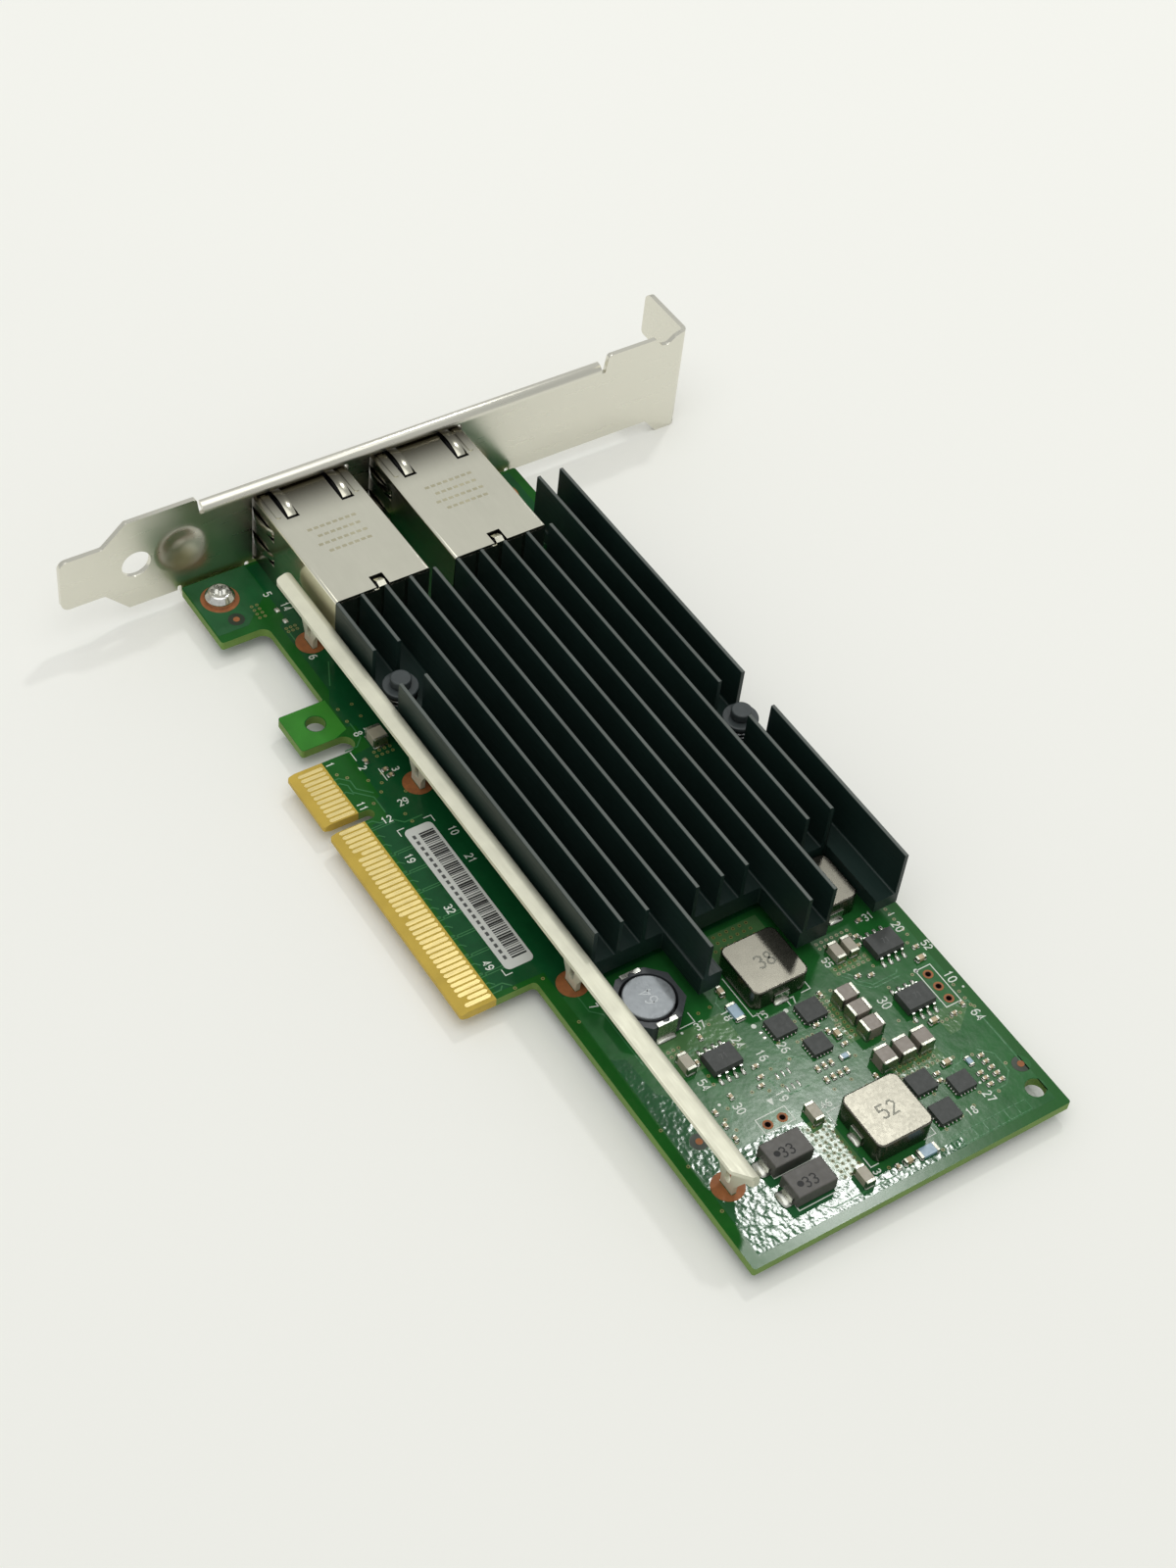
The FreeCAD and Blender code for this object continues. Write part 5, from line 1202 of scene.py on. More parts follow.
    def via_places(self) -> list[Point]:
        """Middles of the vias: those of each grid, and the loose ones.

        Returns:
            Their places. A grid is its first x and y, its columns, rows and pitch.
        """
        grids = [
            (62.6, 47.5, 10, 2, 0.88), (78.3, 49.8, 3, 8, 0.92), (45.6, 37.9, 3, 8, 1.2),
            (59.4, 52.9, 2, 7, 0.92), (54.2, 53.2, 2, 7, 0.95), (80.6, 32.5, 10, 4, 1.0),
            (-47.9, 12.6, 4, 2, 0.95), (-10.7, 14.3, 2, 4, 0.95), (-40.9, 15.2, 2, 3, 0.8),
            (59.8, 22.6, 2, 3, 0.9), (70.3, 66.9, 4, 1, 1.4), (53.8, 66.6, 6, 1, 1.1),
            (60.6, 63.8, 1, 3, 0.9), (74.9, 61.2, 1, 5, 0.85), (67.4, 40.2, 1, 4, 0.9),
        ]
        loose = [
            (-21.3, 13.8), (-18.4, 13.8), (-21.3, 16.3), (-18.4, 16.3), (-9.3, 6.9), (-8.0, 8.0),
            (-6.3, 13.2), (-4.6, 12.2), (-6.0, 10.6), (-3.0, 11.2), (-1.5, 9.0), (-1.4, 14.6),
            (2.6, 12.2), (4.4, 12.4), (39.2, 9.4), (39.7, 13.9), (48.9, 14.3), (70.4, 14.2),
            (77.3, 14.2), (85.6, 14.2), (56.0, 32.5), (56.1, 30.4), (55.4, 35.4), (58.5, 30.6),
            (69.4, 34.0), (69.3, 37.4), (71.2, 34.0), (72.6, 33.8), (72.4, 31.6), (71.4, 29.3),
            (67.6, 25.2), (66.0, 25.4), (72.0, 24.6), (73.4, 23.2), (75.6, 23.6), (77.4, 22.4),
            (63.2, 31.8), (61.6, 58.4), (62.2, 50.0), (71.6, 55.6), (73.2, 51.6), (72.2, 50.2),
            (64.2, 42.0), (66.3, 37.6), (67.8, 47.0), (73.5, 46.2), (76.6, 43.2), (76.8, 40.0),
            (78.6, 44.6), (80.8, 58.6), (83.4, 54.8), (84.6, 52.2), (87.6, 58.2), (89.0, 56.0),
            (89.6, 53.4), (90.3, 50.0), (81.8, 61.4), (88.8, 60.8), (85.4, 64.8), (75.0, 67.2),
            (65.8, 62.6), (66.0, 58.0), (72.9, 57.6), (57.4, 52.2), (92.8, 47.4), (91.4, 38.8),
        ]
        places = [
            (x + i * pitch, y + j * pitch)
            for x, y, columns, rows, pitch in grids
            for i in range(columns)
            for j in range(rows)
        ]
        return places + loose

    def vias(self, side: str, places: Sequence[Point], ring: Point, mouth: Point) -> None:
        """Small plated holes on one side of the board: rings of masked copper with dark mouths.

        Args:
            side: Start of the pieces' names.
            places: Their middles.
            ring: Lowest and highest point of a ring.
            mouth: Those of a mouth.
        """
        rings, mouths = Mesh(), Mesh()
        rings.rings(places, *self.via_ring, *ring, 10)
        mouths.discs(places, self.via_mouth, *mouth, 8)
        rings.build(f"{side}via_rings", VIA_RING, Slot.BOARD)
        mouths.build(f"{side}via_mouths", VIA_MOUTH, Slot.BOARD)

    def header_places(self) -> list[Point]:
        """Middles of the header holes: a pair, and a row of three."""
        pair = [(self.pair[0], self.pair[1] + self.header_pitch * i) for i in range(2)]
        return pair + [(self.row[0] + self.header_pitch * i, self.row[1]) for i in range(3)]

    def lands(self) -> None:
        """Bare copper at the header holes, and the round alignment marks in their clear rings."""
        header = self.header_places()
        copper, clear, barrels = Mesh(), Mesh(), Mesh()
        copper.discs(self.marks, self.mark_radius, 0.0, self.ink, 20)
        copper.rings(header, *self.header_land, 0.0, self.ink, 20)
        barrels.rings(header, *self.header_barrel, -self.barrel_depth, self.barrel, 16)
        clear.rings(self.marks, self.mark_clearing, self.mark_radius, 0.0, self.clearing, 24)
        barrels.build("header_barrels", HOLE_BARREL, Slot.COPPER)
        copper.build("header_lands", BARE_COPPER, Slot.COPPER)
        clear.build("mark_clearings", VIA_MOUTH, Slot.BOARD)

    def legend(self) -> None:
        """White legend: part outlines, pin-one dots, polarity marks and plain numbers."""
        mesh = Mesh()
        for line in self.legend_lines():
            mesh.stroke(line, self.ink_width, 0.0, self.ink)
        for x, y, radius in (
            (62.0, 36.2, 0.4), (57.9, 26.3, 0.22), (86.3, 59.3, 0.22), (62.0, 42.0, 0.38),
            (69.9, 36.8, 0.22), (70.9, 23.9, 0.25), (65.5, 63.5, 0.38), (71.3, 68.0, 0.2),
        ):
            mesh.discs([(x, y)], radius, 0.0, self.ink, 16)
        mesh.prism([(73.6, 30.2), (74.8, 30.7), (73.6, 31.2)], 0.0, self.ink)
        for number in self.numbers():
            number.draw(mesh, 0.0, self.ink)
        mesh.build("board_legend", LEGEND_INK, Slot.PAPER)

    def legend_lines(self) -> list[list[Point]]:
        """Frames round the headers, and corner marks beside the parts they belong to.

        Returns:
            Corners of each line.
        """
        lines = []
        for (x, y), (left, low, right, high) in (
            (self.pair, (-1.45, -1.2, 1.2, 3.9)),
            (self.row, (-1.4, -1.35, 6.25, 1.4)),
        ):
            corners = rectangle(x + left, y + low, x + right, y + high)
            lines.append([*corners, corners[0]])
        lines += [
            [(52.6, 37.1), (60.5, 37.1), (60.5, 39.2)],
            [(58.8, 47.6), (60.4, 47.6), (60.4, 45.9)],
            [(79.5, 39.0), (79.5, 36.6), (82.0, 36.6)],
            [(88.3, 36.6), (90.1, 36.6), (90.1, 38.0)],
            [(88.8, 48.2), (90.1, 48.2), (90.1, 46.0)],
            [(55.2, 29.1), (57.1, 29.1), (57.1, 25.8)],
            [(84.9, 30.4), (84.9, 23.6), (83.8, 23.6)],
            [(90.9, 30.4), (90.9, 23.6), (89.8, 23.6)],
            [(50.2, 62.5), (50.9, 62.5), (50.9, 61.2)],
            [(4.7, 14.2), (4.7, 15.5), (6.0, 15.5)],
            [(5.0, 10.6), (5.0, 9.4), (6.3, 9.4)],
            [(35.4, 9.4), (36.6, 9.4), (36.6, 10.6)],
            [(-15.9, 15.4), (-14.7, 15.4)],
            [(-7.4, 13.2), (-4.6, 13.2)],
            [(-12.4, 11.0), (-10.4, 11.0)],
            [(55.0, 66.2), (55.0, 67.4)],
        ]
        return lines

    def numbers(self) -> list[Number]:
        """Plain counting numbers beside the parts, and the contact counts over the connector.

        Returns:
            The numbers; a row is the digits, first x and y, height and turn.
        """
        rows = [
            ("1", -11.9, 6.3, 1.2), ("11", -2.6, 6.5, 1.2), ("12", 2.9, 8.4, 1.2, 90),
            ("19", 9.9, 7.7, 1.2), ("32", 21.2, 8.0, 1.2), ("49", 33.0, 7.5, 1.2),
            ("5", -49.6, 15.6), ("14", -46.2, 16.9), ("6", -33.6, 15.3),
            ("8", -15.6, 13.4), ("2", -8.9, 10.6, 1.1), ("3", -6.4, 15.0, 1.1),
            ("29", 0.9, 12.4, 1.2, 90), ("10", 8.2, 16.4, 1.2), ("21", 14.2, 15.9, 1.2),
            ("7", 47.2, 17.0), ("18", 57.6, 33.2), ("24", 62.4, 31.9),
            ("26", 66.4, 37.2), ("16", 66.0, 33.6), ("37", 58.6, 28.6, 1.2, 90),
            ("19", 73.2, 32.0), ("30", 72.0, 25.4), ("54", 66.2, 23.3),
            ("46", 78.9, 36.6, 1.2, 90), ("17", 61.6, 42.9, 1.2, 90),
            ("15", 61.6, 37.6, 1.2, 90), ("30", 67.0, 55.0, 1.5), ("20", 56.6, 65.6),
            ("52", 61.6, 67.4, 1.2), ("10", 68.0, 66.7, 1.4), ("64", 75.6, 66.0, 1.4),
            ("31", 54.2, 62.6, 1.2, 90), ("55", 57.0, 52.1, 1.2), ("27", 88.0, 58.4),
            ("18", 90.2, 54.4, 1.2, 90), ("87", 92.5, 41.0, 1.0, 90),
            ("3", 90.8, 36.4, 1.1), ("5", -34.6, 67.0), ("4", -22.6, 67.0),
        ]
        return [Number(*row) for row in rows]


@dataclass
class EdgeConnector:
    """Gold contacts of both faces, and the paper label above them."""

    bar_count: int = 64
    margin: float = 1.5
    skin: float = 0.01
    bar_margins: Point = (1.9, 0.45)
    dash_pitch: float = 1.25
    dash_length: float = 0.75
    dash_stop: float = 0.6
    dash_rows: Point = (0.75, 1.25)
    bar_share: float = 0.58
    beats: tuple[Triple, ...] = ((0.2, 1.9, 0.0), (0.14, 0.7, 1.0))
    nodes: tuple[Dressing, ...] = (
        ("edge_contacts_front", 1, HARD_GOLD, 0.0),
        ("edge_contacts_back", 1, HARD_GOLD, 0.0),
        ("label", 1, LABEL_FILM, 0.0),
    )

    def build(self) -> None:
        """Dresses the contacts and prints plain bars on the label."""
        dress_nodes(self.nodes)
        self.label_bars()

    def label_bars(self) -> None:
        """Upright bars and a row of short dashes under them.

        A bar's width is a share of the pitch plus two sine beats: size times sin(rate n + phase).
        """
        low, high = extent("label")
        left, right = low[0] + self.margin, high[0] - self.margin
        pitch = (right - left) / self.bar_count
        steps = np.arange(self.bar_count)
        swell = sum(size * np.sin(steps * rate + phase) for size, rate, phase in self.beats)
        widths = pitch * (self.bar_share + swell)
        bottom, top = low[1] + self.bar_margins[0], high[1] - self.bar_margins[1]
        bars = [(at, bottom, at + width, top) for at, width in zip(left + steps * pitch, widths)]
        foot, head = low[1] + self.dash_rows[0], low[1] + self.dash_rows[1]
        starts = np.arange(left, right - self.dash_stop, self.dash_pitch)
        dashes = [(at, foot, at + self.dash_length, head) for at in starts]
        for name, finish, marks in (
            ("label_bars", LABEL_INK, bars), ("label_dashes", LABEL_GREY_INK, dashes),
        ):
            mesh = Mesh()
            for sides in marks:
                mesh.prism(rectangle(*sides), high[2], high[2] + self.skin)
            mesh.build(name, finish, Slot.PAPER)


# ------------------------------------------------------------------------------- metalwork


@dataclass
class Metalwork:
    """Bracket, its screws, the jacks and the stiffener."""

    plate_over_housing: float = 0.38
    dash_rows: int = 4
    dash_setback: float = 16.0
    dash_pitch: Point = (1.9, 1.15)
    dash_length: float = 0.8
    dash_width: float = 0.55
    dash_reach: Point = (4.6, 3.7)
    dash_skin: float = 0.01
    dash_root: float = 0.3
    nodes: tuple[Dressing, ...] = (
        ("bracket", 1, NICKEL_SHEET, 0.12),
        ("bracket_screws", 1, ZINC_PLATE, 0.08),
        ("stiffener", 1, MATT_TIN, 0.12),
        ("jack_{}_shield", 2, SHIELD_PLATE, 0.05),
        ("jack_{}_housing", 2, HOUSING_NYLON, 0.08),
        ("jack_{}_contacts", 2, HARD_GOLD, 0.0),
    )

    def build(self) -> None:
        """Dresses every folded and turned metal piece, and what the jacks hold."""
        dress_nodes(self.nodes)
        for jack in ("jack_1", "jack_2"):
            self.etched_dashes(jack)

    def etched_dashes(self, jack: str) -> None:
        """Faint etched dashes across the flat top, where such jacks carry a lot number.

        Args:
            jack: Start of the jack's node names.
        """
        low, high = extent(f"{jack}_housing")
        top = high[2] + self.plate_over_housing
        middle = (low[1] + high[1]) / 2
        mesh = Mesh()
        for row in range(self.dash_rows):
            x = high[0] - self.dash_setback + row * self.dash_pitch[0]
            reach = self.dash_reach[row % 2]
            for y in middle + np.arange(-reach, reach, self.dash_pitch[1]):
                line = [(x, y), (x, y + self.dash_length)]
                mesh.stroke(line, self.dash_width, top - self.dash_root, top + self.dash_skin)
        mesh.build(f"{jack}_etched_dashes", ETCHED_MARK, Slot.STEEL)


@dataclass
class Cooling:
    """Heat sink, its push pins and springs, and the controller below."""

    nodes: tuple[Dressing, ...] = (
        ("heatsink", 1, BLACK_ANODISED, 0.08),
        ("push_pin_{}", 2, PIN_NYLON, 0.06),
        ("push_pin_spring_{}", 2, SPRING_WIRE, 0.0),
        ("controller_substrate", 1, CARRIER, 0.05),
        ("controller_lid", 1, LID_METAL, 0.05),
        ("thermal_pad", 1, HEAT_PAD, 0.03),
    )

    def build(self) -> None:
        """Dresses the pieces."""
        dress_nodes(self.nodes)


# ------------------------------------------------------------------------------- power section


@dataclass
class PowerSection:
    """Inductors, capacitors, regulators and drivers at the free end, and their terminals."""

    nodes: tuple[Dressing, ...] = (
        ("power_inductor_{}", 3, GROUND_POWDER, 0.0),
        ("power_inductor_{}_clips", 3, REFLOWED_TIN, 0.04),
        ("drum_inductor_shell", 1, FERRITE, 0.08),
        ("drum_inductor_core", 1, FERRITE_TOP, 0.08),
        ("drum_inductor_winding", 1, ENAMELLED_COPPER, 0.0),
        ("drum_inductor_clips", 1, REFLOWED_TIN, 0.03),
        ("tantalum_capacitor_{}", 2, TANTALUM_EPOXY, 0.06),
        ("tantalum_capacitor_{}_leads", 2, REFLOWED_TIN, 0.03),
        ("regulator_{}", 3, CHIP_EPOXY, 0.06),
        ("regulator_{}_leads", 3, REFLOWED_TIN, 0.0),
        ("driver_{}", 6, CHIP_EPOXY, 0.04),
        ("driver_pads", 1, REFLOWED_TIN, 0.0),
        ("large_capacitors", 1, CAPACITOR_BODY, 0.06),
        ("medium_capacitors", 1, PALE_CAPACITOR, 0.05),
        ("small_capacitors", 1, TAN_CAPACITOR, 0.04),
        ("tiny_parts", 1, TAN_CAPACITOR, 0.02),
        ("chip_resistors", 1, RESISTOR_TOP, 0.02),
        ("large_capacitors_ends", 1, PLATED_END, 0.14),
        ("medium_capacitors_ends", 1, PLATED_END, 0.1),
        ("small_capacitors_ends", 1, PLATED_END, 0.06),
        ("tiny_parts_ends", 1, PLATED_END, 0.04),
        ("chip_resistors_ends", 1, PLATED_END, 0.04),
    )

    def build(self) -> None:
        """Dresses the parts."""
        dress_nodes(self.nodes)


@dataclass
class PartMarks:
    """Plain numbers and polarity marks on the parts; each lies on the flat top it belongs to."""

    skin: float = 0.012
    root: float = 0.1
    weight: float = 0.13
    spacing: float = 0.775
    dot_radius: float = 0.5
    dot_shift: Point = (0.3, 1.5)
    numbers: tuple[tuple[str, int, str, float, float, Finish, Point], ...] = (
        ("power_inductor_1", 1, "38", 2.2, 90, INK_MARK, (0.0, 0.0)),
        ("power_inductor_2", 1, "52", 2.2, 90, INK_MARK, (0.0, 0.0)),
        ("power_inductor_3", 1, "27", 2.2, 90, INK_MARK, (0.0, 0.0)),
        ("drum_inductor_core", 1, "64", 1.9, 180, PALE_MARK, (0.0, 0.0)),
        ("tantalum_capacitor_{}", 2, "33", 1.6, 90, LASER_MARK, (0.5, -0.3)),
        ("regulator_{}", 3, "71", 0.9, 90, PALE_EPOXY, (0.0, 0.2)),
    )

    def build(self) -> None:
        """Prints the parts of the table: how many, digits, height, turn, ink and shift."""
        for name, count, *number in self.numbers:
            for part in (name.format(each) for each in range(1, count + 1)):
                self.number(part, *number)
                if part.startswith("tantalum"):
                    self.dot(part)

    def number(
        self, part: str, text: str, height: float, turn: float, finish: Finish, shift: Point
    ) -> None:
        """Centres a number on a part's top.

        Args:
            part: CAD node that carries it.
            text: Digits.
            height: Height of a digit.
            turn: Direction of the line, in degrees.
            finish: Its ink.
            shift: Offset from the middle of the top.
        """
        low, high = extent(part)
        angle = math.radians(turn)
        cos, sin = math.cos(angle), math.sin(angle)
        along = (len(text) - 1) * height * self.spacing + height / 2
        half = np.array([along * cos - height * sin, along * sin + height * cos]) / 2
        x, y = (low[:2] + high[:2]) / 2 + shift - half
        mesh = Mesh()
        number = Number(text, x, y, height, turn, self.weight * height)
        number.draw(mesh, high[2] - self.root, high[2] + self.skin)
        mesh.build(f"{part}_number", finish, Slot.PAPER)

    def dot(self, part: str) -> None:
        """Round polarity mark beside the number.

        Args:
            part: CAD node that carries it.
        """
        low, high = extent(part)
        place = ((low[0] + high[0]) / 2 + self.dot_shift[0], low[1] + self.dot_shift[1])
        mesh = Mesh()
        mesh.discs([place], self.dot_radius, high[2] - self.root, high[2] + self.skin, 20)
        mesh.build(f"{part}_dot", LASER_MARK, Slot.PAPER)


@dataclass
class Solder:
    """Joints: mounds round each plated end, lead and pad, and bare tinned pads.

    A joint's sizes are how far it stands in or out, its half length, half width and height.
    """

    margin: float = 0.16
    board_skin: float = 0.0
    toe: tuple[float, float, float, float] = (0.15, 0.62, 0.34, 0.3)
    dots_a_side: int = 5
    dot: Triple = (0.17, 0.26, 0.3)
    dot_inset: float = 0.45
    dot_outset: float = 0.1
    clip: Triple = (0.05, 0.55, 0.45)
    clip_margin: float = 0.1
    minus_fillet: tuple[float, float, float, float] = (0.55, 1.55, 1.1, 0.65)
    plus_fillet: tuple[float, float, float, float] = (0.35, 1.35, 0.75, 0.5)
    groups: tuple[tuple[str, float], ...] = (
        ("large_capacitors_ends", 0.9), ("medium_capacitors_ends", 0.6),
        ("small_capacitors_ends", 0.35), ("tiny_parts_ends", 0.22), ("chip_resistors_ends", 0.3),
    )

    def build(self) -> None:
        """Adds the joints group by group; each group of chip parts has mounds of its own height."""
        for group, height in self.groups:
            self.mounds(group, height)
        for part in ("regulator_1", "regulator_2", "regulator_3"):
            self.toes(part)
        self.driver_dots()
        self.tantalum_joints()
        self.clip_joints()
        self.bare_pads()

    def place(self, name: str, places: Sequence[Mound], around: int = 12, rows: int = 4) -> None:
        """Builds one piece from its mounds.

        Args:
            name: Name of the piece.
            places: Its mounds.
            around: Points round each.
            rows: Rows up each.
        """
        mesh = Mesh()
        mesh.domes(places, self.board_skin, around=around, rows=rows)
        mesh.build(name, REFLOWED_TIN, Slot.TIN, smooth=True)

    def mounds(self, group: str, height: float) -> None:
        """A mound round the foot of every separate solid of a node.

        Args:
            group: The node.
            height: Height of the mounds.
        """
        places = []
        for low, high in islands(group):
            half = (high[:2] - low[:2]) / 2 + self.margin
            places.append((*(low[:2] + high[:2]) / 2, *half, height))
        self.place(f"{group}_joints", places)

    def toes(self, part: str) -> None:
        """A mound at the outer end of each gull-wing lead.

        Args:
            part: The regulator's node.
        """
        low, high = extent(part)
        middle = (low[0] + high[0]) / 2
        inset, *sizes = self.toe
        places = []
        for lead_low, lead_high in islands(f"{part}_leads"):
            right = (lead_low[0] + lead_high[0]) / 2 > middle
            x = lead_high[0] - inset if right else lead_low[0] + inset
            places.append((x, (lead_low[1] + lead_high[1]) / 2, *sizes))
        self.place(f"{part}_joints", places)

    def driver_dots(self) -> None:
        """A small bright dot of solder at each terminal, round all four sides of the drivers."""
        thin, wide, height = self.dot
        places = []
        for number in range(1, 7):
            low, high = extent(f"driver_{number}")
            (x, y), (a, b) = (low[:2] + high[:2]) / 2, (high[:2] - low[:2]) / 2
            for step in np.linspace(-1, 1, self.dots_a_side):
                along, across = step * (a - self.dot_inset), step * (b - self.dot_inset)
                for side in (-1, 1):
                    places.append((x + along, y + side * (b + self.dot_outset), thin, wide, height))
                    places.append((x + side * (a + self.dot_outset), y + across, wide, thin, height))
        self.place("driver_joints", places, around=8, rows=3)

    def tantalum_joints(self) -> None:
        """Wide fillets at both ends of the tantalum capacitors."""
        places = []
        for part in ("tantalum_capacitor_1", "tantalum_capacitor_2"):
            low, high = extent(part)
            x = (low[0] + high[0]) / 2
            for y, side, (outset, *sizes) in (
                (low[1], -1, self.minus_fillet), (high[1], 1, self.plus_fillet),
            ):
                places.append((x, y + side * outset, *sizes))
        self.place("tantalum_joints", places)

    def clip_joints(self) -> None:
        """Fillets under both ends of the inductors' strip terminals, which lie along x or along y."""
        outset, reach, height = self.clip
        places = []
        for name in [f"power_inductor_{i}_clips" for i in (1, 2, 3)] + ["drum_inductor_clips"]:
            low, high = extent(name)
            (x, y), (a, b) = (low[:2] + high[:2]) / 2, (high[:2] - low[:2]) / 2
            for side in (-1, 1):
                if a > b:
                    place = (x + side * (a + outset), y, reach, b + self.clip_margin, height)
                else:
                    place = (x, y + side * (b + outset), a + self.clip_margin, reach, height)
                places.append(place)
        self.place("clip_joints", places)

    def bare_pads(self) -> None:
        """Tinned pads that carry no part."""
        rows = [(x, y, 0.62, 0.2, 0.12) for x in (70.9, 73.4) for y in (34.1, 35.1, 36.1)]
        rows += [(x, 15.9, 0.6, 0.45, 0.25) for x in (-45.3, -42.5)]
        rows += [(x, 36.5, 0.3, 0.35, 0.05) for x in (63.4, 64.4)]
        self.place("bare_pads", rows)


# ------------------------------------------------------------------------------- underside


@dataclass
class Underside:
    """Solder side: copper plane under mask, the vias' far ends, and joints round the legs."""

    board: Board
    plane: float = 0.012
    via: float = 0.034
    mouth: float = 0.0238
    left: float = -46.4
    via_left: float = -46.0
    pin_clearance: float = 2.6
    header_clearance: float = 1.1
    margin: float = 0.55
    drop: float = 0.75
    proud: float = 0.1
    cell: float = 4.0

    def build(self) -> None:
        """Lays the plane and vias, then solders every leg that comes through."""
        back = self.board.back
        self.copper()
        places = [place for place in self.board.via_places() if place[0] > self.via_left]
        self.board.vias("back_", places, (back - self.via, back), (back - self.mouth, back))
        self.joints()

    def copper(self) -> None:
        """The plane, open round the push pins and the header holes."""
        right, upper = self.board.inner, self.board.upper
        notch_x, notch_y = self.board.free_end - 7.4, self.board.top - 5.4
        outline = [
            (self.left, 15.0), (-12.0, 15.0), (-11.6, 10.9), (-2.2, 10.6), (-2.0, 9.6), (1.9, 9.6),
            (2.2, 6.6), (38.6, 6.6), (38.8, 14.6), (right, 14.6), (right, notch_y),
            (notch_x, notch_y), (notch_x, upper), (self.left, upper),
        ]
        holes = []
        for pin in ("push_pin_1", "push_pin_2"):
            low, high = extent(pin)
            holes.append(circle(*(low[:2] + high[:2]) / 2, self.pin_clearance))
        holes += [circle(x, y, self.header_clearance) for x, y in self.board.header_places()]
        mesh = Mesh()
        mesh.prism(outline, self.board.back - self.plane, self.board.back, holes)
        mesh.build("back_plane", MASK_ON_COPPER, Slot.BOARD)

    def joints(self) -> None:
        """A cone-like mound round each leg of the jacks and the stiffener."""
        places = []
        for name in ("jack_1_shield", "jack_2_shield", "stiffener"):
            for low, high in self.feet(name):
                half = (high[:2] - low[:2]) / 2 + self.margin
                places.append((*(low[:2] + high[:2]) / 2, *half, -self.drop))
        mesh = Mesh()
        mesh.domes(places, self.board.back, power=0.8, around=20, rows=6)
        mesh.build("leg_joints", REFLOWED_TIN, Slot.TIN, smooth=True)

    def feet(self, name: str) -> list[Box]:
        """Box of each leg of a node that comes out under the board; legs stand in cells of their own.

        Args:
            name: Node of the frame.

        Returns:
            Lowest and highest corner of each foot, in millimetres.
        """
        points = vertices(name)
        below = points[points[:, 2] < self.board.back - self.proud]
        cells = np.round(below[:, :2] / self.cell)
        return boxes(below, np.unique(cells, axis=0, return_inverse=True)[1].reshape(-1))


# ------------------------------------------------------------------------------- studio


@dataclass(frozen=True)
class Lamp:
    """A rectangular lamp that points at the card: place and sides in metres, power in watts."""

    name: str
    place: Triple
    size: Point
    power: float
    colour: Triple
    aim: Triple = (0.03, 0.04, 0.0)

    def build(self) -> None:
        """Hangs the lamp."""
        data = bpy.data.lights.new(self.name, "AREA")
        data.shape = "RECTANGLE"
        data.size, data.size_y = self.size
        data.energy = self.power
        data.color = self.colour
        lamp = bpy.data.objects.new(self.name, data)
        bpy.context.scene.collection.objects.link(lamp)
        lamp.location = self.place
        ray = Vector(self.aim) - Vector(self.place)
        lamp.rotation_euler = ray.to_track_quat("-Z", "Y").to_euler()


# White sweep paper, uncoated: matt, with hardly a cloud in it, and a painted glow towards the far side.
FLOOR_PAPER = SweepPaper("floor_paper", "#F6F6F1", 0.75, mottle=0.004, mottle_mm=180.0, specular=0.2)


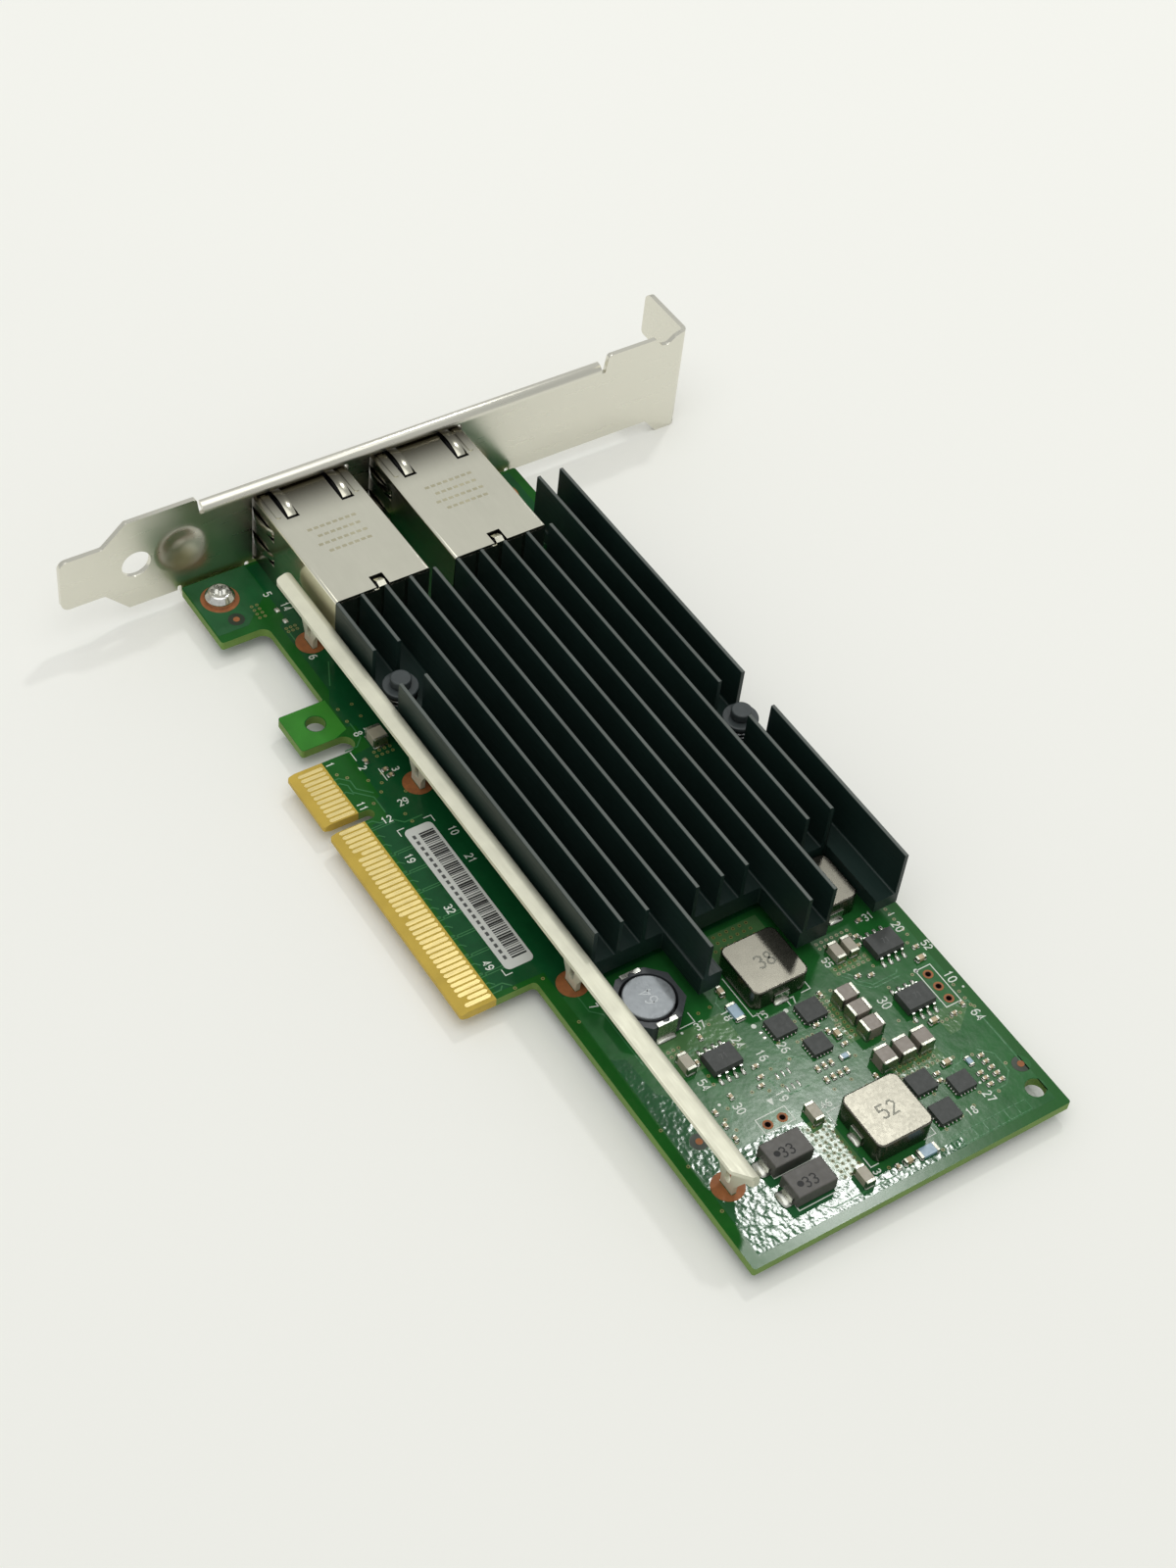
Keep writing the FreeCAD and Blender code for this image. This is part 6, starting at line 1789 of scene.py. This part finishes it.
@dataclass
class Studio:
    """Pale floor, soft overhead light and one window-like lamp, in a dim room."""

    floor_side: float = 6.0
    room_colour: str = "#F1F2F0"
    room_strength: float = 0.63
    lamps: tuple[Lamp, ...] = (
        Lamp("ceiling", (0.2, -0.2, 1.6), (1.6, 1.6), 9.5, (1.0, 0.995, 0.98)),
        Lamp("window", (-0.443, 0.652, 1.19), (0.1, 0.08), 2.0, (1.0, 1.0, 0.99)),
    )

    def build(self) -> None:
        """Makes the floor, the world and the lamps."""
        self.floor()
        self.world()
        for lamp in self.lamps:
            lamp.build()

    def floor(self) -> None:
        """A wide sheet just under the card."""
        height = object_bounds()[0][2]
        half = self.floor_side / 2
        mesh = bpy.data.meshes.new("floor")
        corners = [(-half, -half), (half, -half), (half, half), (-half, half)]
        mesh.from_pydata([(x, y, height) for x, y in corners], [], [(0, 1, 2, 3)])
        mesh.materials.append(FLOOR_PAPER.build())
        floor = bpy.data.objects.new("floor", mesh)
        bpy.context.scene.collection.objects.link(floor)
        floor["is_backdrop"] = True

    def world(self) -> None:
        """Even grey surroundings."""
        world = bpy.data.worlds.new("room")
        bpy.context.scene.world = world
        world.use_nodes = True
        light = {"Color": linear(self.room_colour), "Strength": self.room_strength}
        fill(world.node_tree.nodes["Background"], light)


@dataclass
class Camera:
    """The camera, placed round the point of the board that it aims at; lengths in millimetres."""

    azimuth: float = 51.53
    elevation: float = 48.17
    distance: float = 415.2
    roll: float = 7.6
    lens: float = 61.05
    sensor: float = 36.0
    reach: Point = (10.0, 20000.0)
    aim: Triple = (10.85, 40.37, 0.0)

    def build(self) -> None:
        """Makes the camera and gives it to the scene."""
        turn, rise = math.radians(self.azimuth), math.radians(self.elevation)
        level = math.cos(rise)
        back = Vector((math.sin(turn) * level, -math.cos(turn) * level, math.sin(rise)))
        data = bpy.data.cameras.new("camera")
        data.lens = self.lens
        data.sensor_fit = "AUTO"
        data.sensor_width = self.sensor
        data.clip_start, data.clip_end = (length * MM for length in self.reach)
        camera = bpy.data.objects.new("camera", data)
        bpy.context.scene.collection.objects.link(camera)
        camera.rotation_mode = "QUATERNION"
        spin = Matrix.Rotation(math.radians(self.roll), 3, "Z").to_quaternion()
        camera.location = (Vector(self.aim) + back * self.distance) * MM
        camera.rotation_quaternion = back.to_track_quat("Z", "Y") @ spin
        bpy.context.scene.camera = camera


def main() -> None:
    """Builds every sub-assembly in order."""
    logging.basicConfig(level=logging.INFO, format="%(name)s %(message)s")
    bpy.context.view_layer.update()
    bpy.context.scene.view_settings.view_transform = "Standard"
    board = Board()
    parts = (
        board, EdgeConnector(), Metalwork(), Cooling(), PowerSection(), PartMarks(), Solder(),
        Underside(board), Studio(), Camera(),
    )
    for assembly in parts:
        assembly.build()
        LOG.info("built %s", type(assembly).__name__)
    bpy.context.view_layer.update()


if __name__ == "__main__":
    main()
